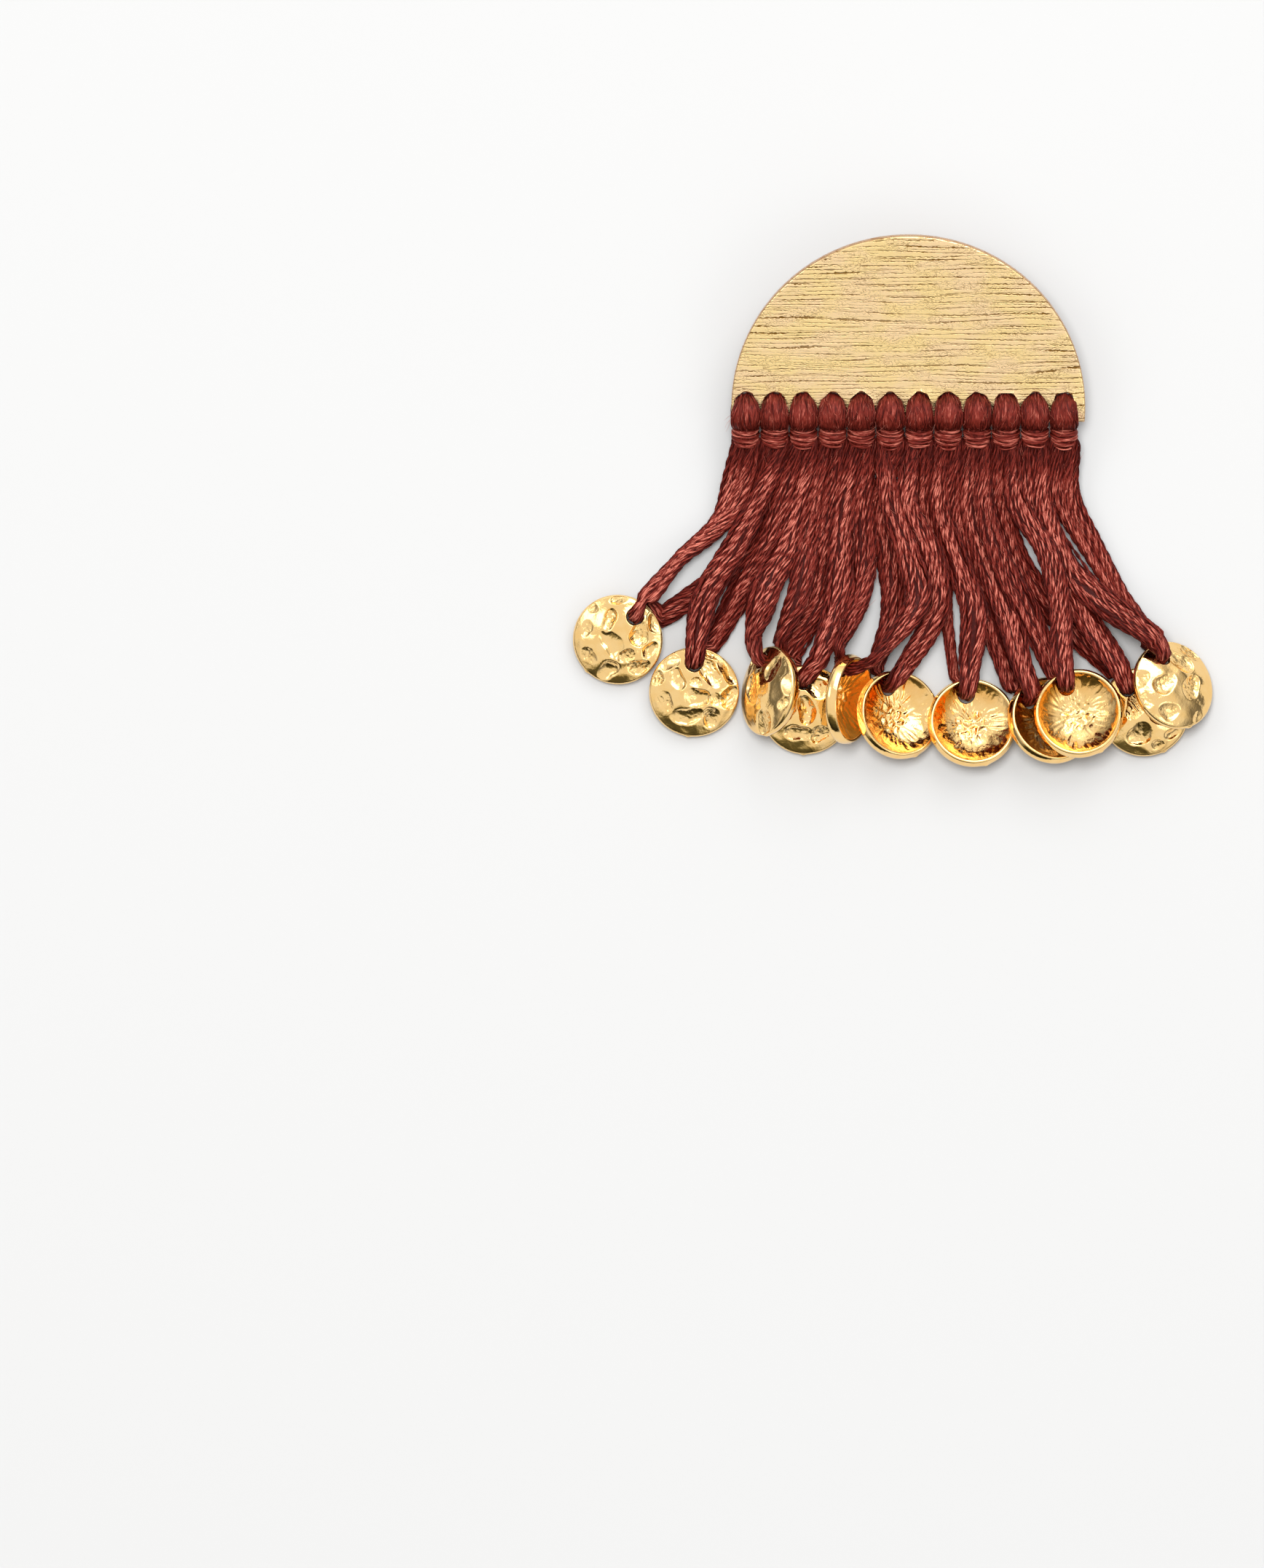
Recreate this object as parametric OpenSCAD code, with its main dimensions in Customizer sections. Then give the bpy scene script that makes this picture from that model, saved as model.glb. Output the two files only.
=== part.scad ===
// Tassel earring lying on its back: a half round plate with a fringe of knotted thread and hammered dish charms.
// X runs along the straight edge of the plate, Y towards its round top and Z up from the surface it lies on.

/* [Plate] */
// Radius of the round edge
plate_r = 20.05; // [18:0.05:24]
// How far the straight edge lies below the centre of the round one
plate_drop = 1.65; // [0:0.05:3]
// Thickness
plate_t = 1.2; // [0.8:0.05:1.6]
// Width of the bevel round the front face
plate_bevel = 0.3; // [0.1:0.05:0.5]
// How far the back of the straight edge is lifted by the knots
edge_lift = 3.0; // [2.6:0.1:4]

/* [Thread holes] */
// Diameter of a thread hole
hole_d = 2.3; // [2.1:0.05:2.6]
// Metal left between a hole and the straight edge
hole_web = 1.15; // [0.8:0.05:1.4]
// Distance from one hole to the next
hole_pitch = 3.28; // [3.1:0.02:3.4]
// How far the row of holes lies to the right of the middle
row_shift = -0.4; // [-1:0.1:1]

/* [Ear post] */
// Diameter of the pin
post_d = 0.8; // [0.6:0.05:1.2]
// Length of the pin below its pad
post_len = 7.2; // [6:0.1:10]
// Diameter of the pad on the plate
pad_d = 3.6; // [2:0.1:6]
// Thickness of the pad
pad_t = 0.4; // [0.3:0.05:0.8]
// Height of the pin above the straight edge, along the plate
post_up = 17; // [14:0.5:18]

/* [Dish charms] */
// Largest diameter
disc_d = 10.2; // [9:0.1:10.6]
// Diameter across the mouth
mouth_d = 9.7; // [8:0.1:10]
// Height of the side wall
side_h = 1.2; // [0.9:0.05:1.3]
// Height of the dome above the side wall
dome_h = 1.2; // [0.8:0.05:1.4]
// Depth of the hollow
bowl_depth = 1.65; // [1:0.05:1.8]
// Width of the flat rim round the mouth
rim_w = 0.35; // [0.2:0.05:0.6]
// Diameter of the thread hole
eye_d = 2.1; // [1.9:0.05:2.3]
// Metal left between the thread hole and the outside
eye_web = 0.55; // [0.4:0.05:0.8]
// Radius of the hammer's round face
dent_r = 2.9; // [2:0.1:4]
// Depth of the deepest hammer mark
dent_depth = 0.26; // [0.1:0.02:0.34]

/* [Thread] */
// Distance from the straight edge down to the middle of the lowest dish
fall = 34.2; // [32:0.2:38]
// Width of a lock of thread
lock_w = 1.5; // [1.2:0.02:1.6]
// Thickness of a lock of thread
lock_t = 1.5; // [1.2:0.02:1.6]
// Thickness of a lock where it lies under a dish
flat_t = 1.1; // [0.8:0.05:1.2]
// Width of the band of wraps under a knot
band_w = 3.0; // [2.4:0.05:3.06]
// Height of the band of wraps
band_h = 2.2; // [1.6:0.1:3]
// Depth of the band of wraps, front to back
band_t = 2.4; // [1.8:0.1:3]
// Thickness of the thread that goes over the edge in a knot
knot_t = 1.35; // [1:0.05:1.4]
// Gap kept between thread and metal
gap = 0.12; // [0.1:0.01:0.2]

/* [Hidden] */
$fn = 64;
TASSELS = 12;
two = function (n) n < 10 ? str("0", n) : str(n);

gold = [0.93, 0.74, 0.42];
rust = [0.48, 0.22, 0.18];

up = [0, 0, 1];
hole_up = hole_web + hole_d / 2;
band_v = -knot_t / 2 - gap;
disc_r = disc_d / 2;
disc_h = side_h + dome_h;
dome_r = (disc_r * disc_r + dome_h * dome_h) / (2 * dome_h);
bowl_edge = mouth_d / 2 - rim_w;
bowl_r = (bowl_edge * bowl_edge + bowl_depth * bowl_depth) / (2 * bowl_depth);
eye_out = disc_r - eye_web - eye_d / 2;

// The plate leans back until the tip of the pin meets the surface: the back of the pad is lifted by
// edge_lift + post_up sin(lean), and the low corner of the tip hangs post_len cos(lean) + post_d / 2 sin(lean) lower.
pin_reach = post_len + pad_t;
lean = acos(edge_lift / norm([post_up - post_d / 2, pin_reach])) - atan2(post_up - post_d / 2, pin_reach);

// Dishes. across: right of the middle of the plate, down: share of the fall, both to the middle of the mouth.
// shows: 1 with its dome to the camera, -1 with its hollow. tip: how far it leans, towards: the way it leans.
// high: its lowest point above the surface, in dish heights. eye: the way from its middle to its thread hole.
across = 0; down = 1; shows = 2; tip = 3; towards = 4; high = 5; eye = 6;
DISCS = [
    [-3.22, 0.726,  1,  8, 233, 0.00,  53],
    [-2.38, 0.899,  1,  8, 270, 0.00,  90],
    [-1.48, 0.903,  1, 57, 171, 0.00, 100],
    [-1.14, 0.958,  1,  8, 275, 0.00,  95],
    [-0.60, 0.929, -1, 64, 355, 0.24,  90],
    [-0.08, 0.974, -1, 27,  25, 0.08, 105],
    [ 0.72, 1.000, -1, 14,  60, 0.42, 100],
    [ 1.61, 0.990, -1, 26,  45, 0.08, 135],
    [ 1.89, 0.970, -1, 10,  80, 1.26, 113],
    [ 2.62, 0.965,  1,  8, 305, 0.00, 125],
    [ 2.90, 0.888,  1, 34,  28, 0.00, 118],
];

// Hammer marks on a dome. turn: from the thread hole, out: share of the dish radius, deep: share of the deepest.
turn = 0; out = 1; deep = 2;
DENTS = [
    [ 58, 0.52, 1.00],
    [ 97, 0.74, 0.70],
    [128, 0.40, 0.80],
    [150, 0.78, 0.90],
    [192, 0.60, 1.00],
    [232, 0.78, 0.70],
    [250, 0.38, 0.90],
    [290, 0.66, 1.00],
];
dent_twist = 37;

// Locks of thread. dish: the one it hangs, way: over its edge into the eye, under it, straight into a steep hollow,
// or joined to its twin above or below it. from: the way it comes to the eye. bow: sideways share of its fall,
// lay: height in lock thicknesses, each at a quarter, half and three quarters of its fall.
side = 0; dish = 1; way = 2; from = 3; bow = 4; lay = 5;
OVER = 1; UNDER = 2; INTO = 3; JOIN_OVER = 4; JOIN_UNDER = 5;
L = -1; R = 1;
LOCKS = [
    [[L, 1, OVER,  64, [0.08, 0.15, 0.05], [1.0, 1.1, 1.2]], [R, 1, JOIN_OVER, 64, [0.10, 0.19, 0.10], [1.1, 1.2, 1.3]]],
    [[L, 1, UNDER, 35, [0.11, 0.16, 0.10], [0.3, 0.0, 0.0]], [R, 2, OVER,  85, [0.05, 0.04, -0.07], [0.6, 0.4, 0.9]]],
    [[L, 2, UNDER, 60, [0.07, 0.06, 0.02], [0.5, 0.1, 0.0]], [R, 3, OVER, 100, [0.00, 0.00, -0.06], [0.6, 0.5, 1.4]]],
    [[L, 3, UNDER, 95, [0.03, 0.02, 0.01], [0.6, 0.4, 1.0]], [R, 4, UNDER, 115, [0.02, 0.02, 0.01], [0.5, 0.1, 0.0]]],
    [[L, 4, OVER,  56, [0.01, 0.01, 0.00], [0.8, 0.6, 1.0]], [R, 5, UNDER, 90, [0.04, 0.09, 0.09], [0.6, 0.4, 0.8]]],
    [[L, 5, INTO,  90, [0.07, 0.14, 0.20], [1.3, 1.6, 2.4]], [R, 6, UNDER, 105, [0.02, 0.04, 0.03], [0.3, 0.0, 0.2]]],
    [[L, 6, OVER,  55, [0.08, 0.16, 0.20], [1.4, 1.4, 1.4]], [R, 7, UNDER, 115, [0.00, 0.00, 0.00], [0.3, 0.0, 0.0]]],
    [[L, 7, OVER,  85, [0.01, 0.03, 0.07], [0.8, 0.6, 1.0]], [R, 8, UNDER, 125, [-0.04, -0.06, -0.03], [0.4, 0.0, 0.0]]],
    [[L, 8, OVER, 110, [-0.03, -0.04, -0.01], [0.6, 0.4, 0.9]], [R, 9, UNDER, 120, [-0.07, -0.11, -0.04], [1.0, 1.2, 1.2]]],
    [[L, 10, UNDER, 130, [-0.11, -0.17, -0.12], [0.3, 0.0, 0.0]], [R, 9, OVER, 102, [-0.02, 0.01, 0.03], [1.1, 1.7, 2.2]]],
    [[L, 10, OVER, 115, [-0.02, -0.05, -0.06], [0.6, 0.5, 1.0]], [R, 11, OVER, 130, [-0.10, -0.15, -0.11], [0.9, 0.9, 1.2]]],
    [[L, 11, UNDER, 105, [-0.06, -0.06, -0.03], [0.6, 0.3, 0.4]], [R, 11, JOIN_UNDER, 105, [-0.07, -0.03, 0.00], [0.6, 0.3, 0.4]]],
];

// Places on the plate, from the middle of its straight edge: u along it, v up the plate, w out of its back face
function hole_u(k) = row_shift + (k - (TASSELS + 1) / 2) * hole_pitch;
function on_plate(u, v, w) = [u, v * cos(lean) - w * sin(lean), edge_lift + v * sin(lean) + w * cos(lean)];

// A dish's own directions: facing the camera, towards its eye, and across the two
function facing(d) = sin(d[tip]) * [cos(d[towards]), sin(d[towards]), 0] + cos(d[tip]) * up;
function to_eye(d, swing = 0) =
    let (a = d[eye] + swing - d[towards])
    cos(a) * (cos(d[tip]) * [cos(d[towards]), sin(d[towards]), 0] - sin(d[tip]) * up)
    + sin(a) * [-sin(d[towards]), cos(d[towards]), 0];

// How far a dish reaches from the middle of its mouth along a direction e: its mouth, its side wall or its dome
function reach(d, e) =
    let (c = max(-1, min(1, facing(d) * e)), s = sqrt(1 - c * c), f = d[shows])
    max(mouth_d / 2 * s, f * c * side_h / 2 + disc_r * s, f * c * side_h + disc_r * s,
        f * c > 0 && s < disc_r / dome_r ? f * c * (disc_h - dome_r) + dome_r : 0);
function disc_at(d) = [d[across] * disc_d, -d[down] * fall, reach(d, -up) + d[high] * disc_h];

// Middle of the whole in plan: the origin lies under it
function side_of(e) = max([for (d = DISCS) disc_at(d) * e + reach(d, e)]);
top_y = on_plate(0, plate_r + plate_drop, 0)[1];
middle = [(side_of([1, 0, 0]) - side_of([-1, 0, 0])) / 2, (top_y - side_of([0, -1, 0])) / 2, 0];

// Smooth curve through rows of numbers, each row held at its own place (Catmull and Rom's cubic)
function blend(a, b, c, d, t) =
    0.5 * ((2 * b) + (c - a) * t + (2 * a - 5 * b + 4 * c - d) * t * t + (3 * b - a - 3 * c + d) * t * t * t);
function smooth(rows, steps) =
    let (n = len(rows))
    [for (i = [0:n - 2], s = [0:steps - 1])
        blend(rows[max(i - 1, 0)], rows[i], rows[i + 1], rows[min(i + 2, n - 1)], s / steps), rows[n - 1]];

// Tube of oval rings. Each row holds a place (3), the way across (3), half the width and half the thickness
function place(row) = [row[0], row[1], row[2]];
function ring(rows, i, sides) =
    let (
        n = len(rows),
        along = place(rows[min(i + 1, n - 1)]) - place(rows[max(i - 1, 0)]),
        t = along / norm(along),
        raw = [rows[i][3], rows[i][4], rows[i][5]],
        flat = raw - (raw * t) * t,
        a = flat / norm(flat),
        b = cross(t, a)
    )
    [for (j = [0:sides - 1])
        let (q = 360 * (j + 0.5) / sides)
        place(rows[i]) + cos(q) * rows[i][6] * a + sin(q) * rows[i][7] * b];

module tube(rows, sides = 8, closed = false) {
    n = len(rows);
    points = [for (i = [0:n - 1]) each ring(rows, i, sides)];
    walls = [for (i = [0:n - (closed ? 1 : 2)], j = [0:sides - 1])
        let (i2 = (i + 1) % n, j2 = (j + 1) % sides)
        [i * sides + j, i2 * sides + j, i2 * sides + j2, i * sides + j2]];
    ends = closed ? [] : [[for (j = [0:sides - 1]) j], [for (j = [0:sides - 1]) n * sides - 1 - j]];
    polyhedron(points, concat(walls, ends));
}

module plate_outline(inset) {
    difference() {
        circle(plate_r - inset, $fn = 180);
        translate([-2 * plate_r, -plate_drop - 2 * plate_r + inset]) square([4 * plate_r, 2 * plate_r]);
    }
}

module plate() {
    color(gold)
        translate(-middle) translate([0, 0, edge_lift]) rotate([lean, 0, 0])
            difference() {
                translate([0, plate_drop, 0]) {
                    linear_extrude(plate_t - plate_bevel) plate_outline(0);
                    linear_extrude(plate_t) plate_outline(plate_bevel);
                }
                for (k = [1:TASSELS])
                    translate([hole_u(k), hole_up, -1]) cylinder(d = hole_d, h = plate_t + 2);
            }
}

module ear_post() {
    color(gold)
        translate(-middle) translate([0, 0, edge_lift]) rotate([lean, 0, 0]) translate([0, post_up, 0]) {
            translate([0, 0, -pad_t]) cylinder(d = pad_d, h = pad_t);
            translate([0, 0, -pin_reach]) cylinder(d = post_d, h = pin_reach - pad_t / 2);
        }
}

// Dish with its mouth at z = 0 and its dome up, the eye towards +X
module dish(number) {
    difference() {
        rotate_extrude()
            difference() {
                intersection() {
                    translate([0, disc_h - dome_r]) circle(dome_r);
                    polygon([[0, 0], [mouth_d / 2, 0], [disc_r, side_h / 2], [disc_r, disc_h], [0, disc_h]]);
                }
                translate([0, bowl_depth - bowl_r]) circle(bowl_r);
            }
        translate([eye_out, 0, -1]) cylinder(d = eye_d, h = disc_h + 2);
        for (m = DENTS) {
            around = m[turn] + (number * dent_twist) % 25 - 12;
            rise = asin(m[out] * disc_r / dome_r);
            translate([0, 0, disc_h - dome_r]) rotate([0, 0, around]) rotate([0, rise, 0])
                translate([0, 0, dome_r + dent_r - dent_depth * m[deep]]) sphere(dent_r);
        }
    }
}

module disc(number) {
    d = DISCS[number - 1];
    spin = d[shows] * (d[eye] - d[towards]);
    color(gold)
        translate(disc_at(d) - middle)
            rotate([0, 0, d[towards]]) rotate([0, d[tip], 0]) rotate([d[shows] > 0 ? 0 : 180, 0, 0])
                rotate([0, 0, spin]) dish(number);
}

// Heights over and under a dish, measured along the way it faces, of a lock that rests on it
function over_h(d) = (d[shows] > 0 ? side_h + dome_h / 3 : 0) + gap + lock_t / 2;
function under_h(d) = (d[shows] > 0 ? 0 : -side_h - dome_h / 4) - gap - flat_t / 2;

// A place near the eye: s outwards from its middle along the way the lock comes, h along the way the dish faces
function at_eye(d, swing, s, h) =
    let (p = disc_at(d) + eye_out * to_eye(d) + s * to_eye(d, swing) + h * facing(d) - middle)
    [p[0], p[1], max(p[2], gap + flat_t / 2)];
function rim_s(swing) = sqrt(pow(disc_r, 2) - pow(eye_out * sin(swing), 2)) - eye_out * cos(swing);

function row(p, w, a, b) = [p[0], p[1], p[2], w[0], w[1], w[2], a / 2, b / 2];

// Rows of one lock, from inside its knot's band down to its dish
function lock_rows(k, lock) =
    let (
        d = DISCS[lock[dish] - 1],
        u = hole_u(k) + lock[side] * hole_pitch / 4,
        start = on_plate(u, band_v - band_h / 2, plate_t / 2) - middle,
        leave = on_plate(u, band_v - band_h - 0.3, plate_t / 2) - middle,
        swing = lock[from] - d[eye],
        under = lock[way] == UNDER || lock[way] == JOIN_UNDER,
        high_h = over_h(d),
        low_h = under_h(d),
        h = under ? low_h : lock[way] == INTO ? high_h + 1.9 : high_h,
        s = lock[way] == INTO ? 1.9 : rim_s(swing) + 1.3,
        gate = at_eye(d, swing, s, h),
        drop = abs(leave[1] - gate[1]),
        x = [1, 0, 0],
        w = cross(to_eye(d, swing), facing(d)),
        w0 = cross(to_eye(d), facing(d)),
        mids = [for (i = [0:2])
            let (q = (i + 1) / 4, p = leave + q * (gate - leave))
            row([p[0] + lock[bow][i] * drop, p[1], gap + lock_t * (lock[lay][i] + 0.5)], x, lock_w, lock_t)],
        twin = lock[way] == JOIN_OVER || lock[way] == JOIN_UNDER ? lock_w : 0,
        near = [for (e = [[1.3, 0.65], [0.3, 0.3]])
            row(at_eye(d, swing, rim_s(swing) + e[0] + twin / 3, under ? low_h : high_h) + twin * e[1] * w, w,
                lock_w - twin * (1 - e[1]) / 4, (under ? flat_t : lock_t) - twin * (1 - e[1]) / 5)],
        turn_r = (lock_t + eye_d - lock_w) / 2 + gap,
        dive = [row(at_eye(d, swing, turn_r * 0.9, high_h), w, lock_w, lock_t),
                row(at_eye(d, swing / 2, turn_r * 0.25, high_h - turn_r * 0.35), w0, lock_w, lock_t)],
        steep = [for (e = [[1.9, 1.9], [0.7, 0.75]])
            row(at_eye(d, swing, e[0], high_h + e[1] - 0.3 * (1.9 - e[0])), w, lock_w, lock_t)],
        pass = [
            row(at_eye(d, 0, 0, (high_h + low_h) / 2), w0, lock_w, lock_t),
            row(at_eye(d, 0, turn_r * 0.25, low_h + turn_r * 0.3), w0, lock_w, (lock_t + flat_t) / 2),
            row(at_eye(d, 0, turn_r * 0.8, low_h), w0, lock_w * 0.8, flat_t)
        ],
        tail = [row(at_eye(d, 0, turn_r * 0.8 + 6 * gap, low_h), w0, lock_w * 0.8, flat_t)]
    )
    concat([row(start, x, lock_w, lock_t), row(leave, x, lock_w, lock_t)], mids,
           lock[way] == INTO ? steep : near,
           lock[way] == INTO ? pass : lock[way] == OVER ? concat(dive, pass) : lock[way] == UNDER ? tail : []);

// Ring of thread round the strip of plate below a hole: narrow in the hole, wide over the edge
module knot(k) {
    steps = 14;
    half = (hole_up + gap + knot_t / 2) / 2;
    mid_v = hole_up - half;
    rows = [for (i = [0:steps - 1])
        let (
            q = 360 * i / steps,
            swell = (1 - cos(q)) / 2,
            deep_w = plate_t / 2 + 4 * gap + knot_t / 2 + 0.17,
            p = on_plate(hole_u(k), mid_v + half * cos(q), plate_t / 2 + deep_w * sin(q)) - middle
        )
        row(p, [1, 0, 0], (1 - swell) * (hole_d - 4 * gap) + swell * band_w, knot_t)];
    tube(rows, 8, true);
}

// Band of wraps below the knot: a short barrel with rounded ends
module band(k) {
    ends = [[0, 0.80], [0.25, 1], [0.75, 1], [1, 0.80]];
    tube([for (e = ends)
        row(on_plate(hole_u(k), band_v - e[0] * band_h, plate_t / 2) - middle, [1, 0, 0], band_w * e[1], band_t * e[1])], 10);
}

module tassel(k) {
    color(rust)
        union() {
            knot(k);
            band(k);
            for (lock = LOCKS[k - 1]) tube(smooth(lock_rows(k, lock), 2));
        }
}

plate();
ear_post();
for (k = [1:TASSELS])
    tassel(k);
for (k = [1:TASSELS - 1])
    disc(k);
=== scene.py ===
"""Tassel earring lying on a pale floor: a half round brushed plate, a fringe of knotted thread and
hammered dish charms. All lengths are in millimetres until a mesh is written, in metres."""

from __future__ import annotations

import logging
from dataclasses import dataclass
from enum import Enum
from functools import partial

import bmesh
import bpy
import mathutils
import numpy as np
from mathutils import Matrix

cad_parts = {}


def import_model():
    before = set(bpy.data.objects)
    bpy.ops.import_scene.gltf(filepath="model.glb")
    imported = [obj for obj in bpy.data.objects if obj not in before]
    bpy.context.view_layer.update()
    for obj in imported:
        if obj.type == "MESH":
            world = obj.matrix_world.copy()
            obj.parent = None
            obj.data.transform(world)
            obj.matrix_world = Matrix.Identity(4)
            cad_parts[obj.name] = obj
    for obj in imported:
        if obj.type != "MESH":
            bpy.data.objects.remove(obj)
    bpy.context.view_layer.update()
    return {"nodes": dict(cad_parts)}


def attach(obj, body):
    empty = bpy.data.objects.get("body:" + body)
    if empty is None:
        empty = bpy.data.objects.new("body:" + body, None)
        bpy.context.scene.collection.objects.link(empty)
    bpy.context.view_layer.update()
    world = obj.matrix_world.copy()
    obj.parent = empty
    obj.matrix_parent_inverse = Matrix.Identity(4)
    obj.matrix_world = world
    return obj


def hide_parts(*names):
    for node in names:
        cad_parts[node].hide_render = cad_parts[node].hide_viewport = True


LOG = logging.getLogger("earring")
MM = 0.001
UP = np.array([0.0, 0.0, 1.0])
RIGHT = np.array([1.0, 0.0, 0.0])
ROOT = "root"
Colour = tuple[float, float, float]


def along(degrees: float) -> np.ndarray:
    """Unit vector in the floor at an angle from +X."""
    turn = np.radians(degrees)
    return np.array([np.cos(turn), np.sin(turn), 0.0])


def turned(degrees: float, axis: str) -> np.ndarray:
    """Matrix that turns by an angle about one axis."""
    return np.array(mathutils.Matrix.Rotation(np.radians(degrees), 3, axis))


def unit(vectors: np.ndarray) -> np.ndarray:
    """Vectors scaled to length one."""
    return vectors / np.maximum(np.linalg.norm(vectors, axis=-1, keepdims=True), 1e-9)


def square_to(run: np.ndarray, across: np.ndarray) -> tuple[np.ndarray, np.ndarray]:
    """Two unit vectors square to the way that paths run and to each other, the first of them along across."""
    t = unit(run)
    a = unit(across - (across * t).sum(-1, keepdims=True) * t)
    return a, np.cross(t, a)


def run_length(places: np.ndarray) -> np.ndarray:
    """Length run along each path of places, from 0 at its first."""
    steps = np.linalg.norm(np.diff(places, axis=-2, prepend=places[..., :1, :]), axis=-1)
    return np.cumsum(steps, axis=-1)


def smoothstep(low: float, high: float, value: np.ndarray) -> np.ndarray:
    """Cubic step from 0 at low to 1 at high: 3t^2 - 2t^3."""
    t = np.clip((value - low) / (high - low), 0, 1)
    return t * t * (3 - 2 * t)


def hump(value: np.ndarray, middle: float, width: float) -> np.ndarray:
    """Smooth hump that is 1 at its middle: exp(-((value - middle) / width)^2)."""
    return np.exp(-(((value - middle) / width) ** 2))


def any_phase(rng: np.random.Generator, count: int, most: float = 6.3) -> np.ndarray:
    """Random phases for a column of strands, up to about a whole turn."""
    return rng.uniform(0, most, (count, 1))


def smooth_rows(rows: np.ndarray, count: int) -> np.ndarray:
    """Rows read off Catmull and Rom's cubic through the given rows, evenly by row number.

    Args:
        rows: one row of numbers for each point that the curve passes.
        count: number of rows wanted.
    Returns:
        The rows, count by the width of a row.
    """
    spot = np.linspace(0, len(rows) - 1, count)
    i = np.minimum(spot.astype(int), len(rows) - 2)
    t = (spot - i)[:, None]
    a, b, c, d = (rows[np.clip(i + k, 0, len(rows) - 1)] for k in (-1, 0, 1, 2))
    return 0.5 * (2 * b + (c - a) * t + (2 * a - 5 * b + 4 * c - d) * t**2 + (3 * b - a - 3 * c + d) * t**3)


def evenly(rows: np.ndarray, count: int) -> np.ndarray:
    """Rows moved along their own curve until their places, the first three columns, are evenly apart."""
    fine = smooth_rows(rows, 12 * len(rows))
    run = run_length(fine[:, :3])
    spot = np.linspace(0, run[-1], count)
    return np.stack([np.interp(spot, run, column) for column in fine.T], axis=1)


class Waves:
    """Smooth random field: a sum of plane waves whose lengths lie in a band, about -1 to 1."""

    def __init__(self, seed: int, shortest: float, longest: float, axes: int = 2, count: int = 28) -> None:
        """Draws the waves' directions, lengths and phases once."""
        rng = np.random.default_rng(seed)
        way = unit(rng.normal(size=(count, axes)))
        self.k = way * (2 * np.pi / rng.uniform(shortest, longest, (count, 1)))
        self.phase = rng.uniform(0, 2 * np.pi, count)

    def at(self, points: np.ndarray) -> np.ndarray:
        """Field at points: the waves' cosines, summed and scaled to a spread of one half."""
        return np.cos(points @ self.k.T + self.phase).sum(-1) / np.sqrt(2 * len(self.phase))


class Body:
    """Mesh under construction: points in millimetres, faces by side count, and values for each point."""

    def __init__(self) -> None:
        """Starts with nothing in it."""
        self.points: list[np.ndarray] = []
        self.faces: dict[int, list[np.ndarray]] = {}
        self.values: dict[str, list[np.ndarray]] = {}
        self.size = 0

    def add(self, points: np.ndarray, faces: list[np.ndarray], **values: np.ndarray) -> None:
        """Adds points and faces.

        Args:
            points: n by 3 places in millimetres.
            faces: arrays of point numbers, one array for each side count.
            values: arrays of n numbers or n vectors, kept as attributes of the points.
        """
        for group in faces:
            self.faces.setdefault(group.shape[1], []).append(group + self.size)
        for name, value in values.items():
            self.values.setdefault(name, []).append(value)
        self.points.append(points)
        self.size += len(points)

    def write(self, name: str, material: bpy.types.Material) -> bpy.types.Object:
        """Makes the mesh object, smooth, at the origin, riding on the root body.

        Args:
            name: the piece's name.
            material: its finish.
        Returns:
            The object.
        """
        groups = [np.vstack(g) for g in self.faces.values()]
        loops = np.concatenate([g.ravel() for g in groups])
        totals = np.concatenate([np.full(len(g), g.shape[1]) for g in groups])
        points = np.vstack(self.points)
        mesh = bpy.data.meshes.new(name)
        mesh.vertices.add(len(points))
        mesh.vertices.foreach_set("co", (points * MM).ravel())
        mesh.loops.add(len(loops))
        mesh.loops.foreach_set("vertex_index", loops.astype(np.int32))
        mesh.polygons.add(len(totals))
        mesh.polygons.foreach_set("loop_start", (np.cumsum(totals) - totals).astype(np.int32))
        mesh.polygons.foreach_set("use_smooth", np.ones(len(totals), bool))
        for label, parts in self.values.items():
            value = np.concatenate(parts)
            kind, field = ("FLOAT_VECTOR", "vector") if value.ndim == 2 else ("FLOAT", "value")
            layer = mesh.attributes.new(label, kind, "POINT")
            layer.data.foreach_set(field, value.astype(np.float32).ravel())
        mesh.update(calc_edges=True)
        mesh.validate()
        mesh.materials.append(material)
        piece = bpy.data.objects.new(name, mesh)
        bpy.context.scene.collection.objects.link(piece)
        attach(piece, ROOT)
        LOG.info("%s: %d triangles", name, int((totals - 2).sum()))
        return piece


def grid_faces(rows: int, columns: int, close_rows: bool = False) -> np.ndarray:
    """Four-sided faces of a grid whose columns close on themselves.

    Args:
        rows: number of rows of points.
        columns: number of points in a row.
        close_rows: whether the last row meets the first again.
    Returns:
        Point numbers, one face a line, with the outside on the right of the way that the columns run.
    """
    i = np.arange(rows if close_rows else rows - 1)[:, None]
    j = np.arange(columns)[None, :]
    i2, j2 = (i + 1) % rows, (j + 1) % columns
    corners = np.broadcast_arrays(i * columns + j, i * columns + j2, i2 * columns + j2, i2 * columns + j)
    return np.stack(corners, axis=-1).reshape(-1, 4)


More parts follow.
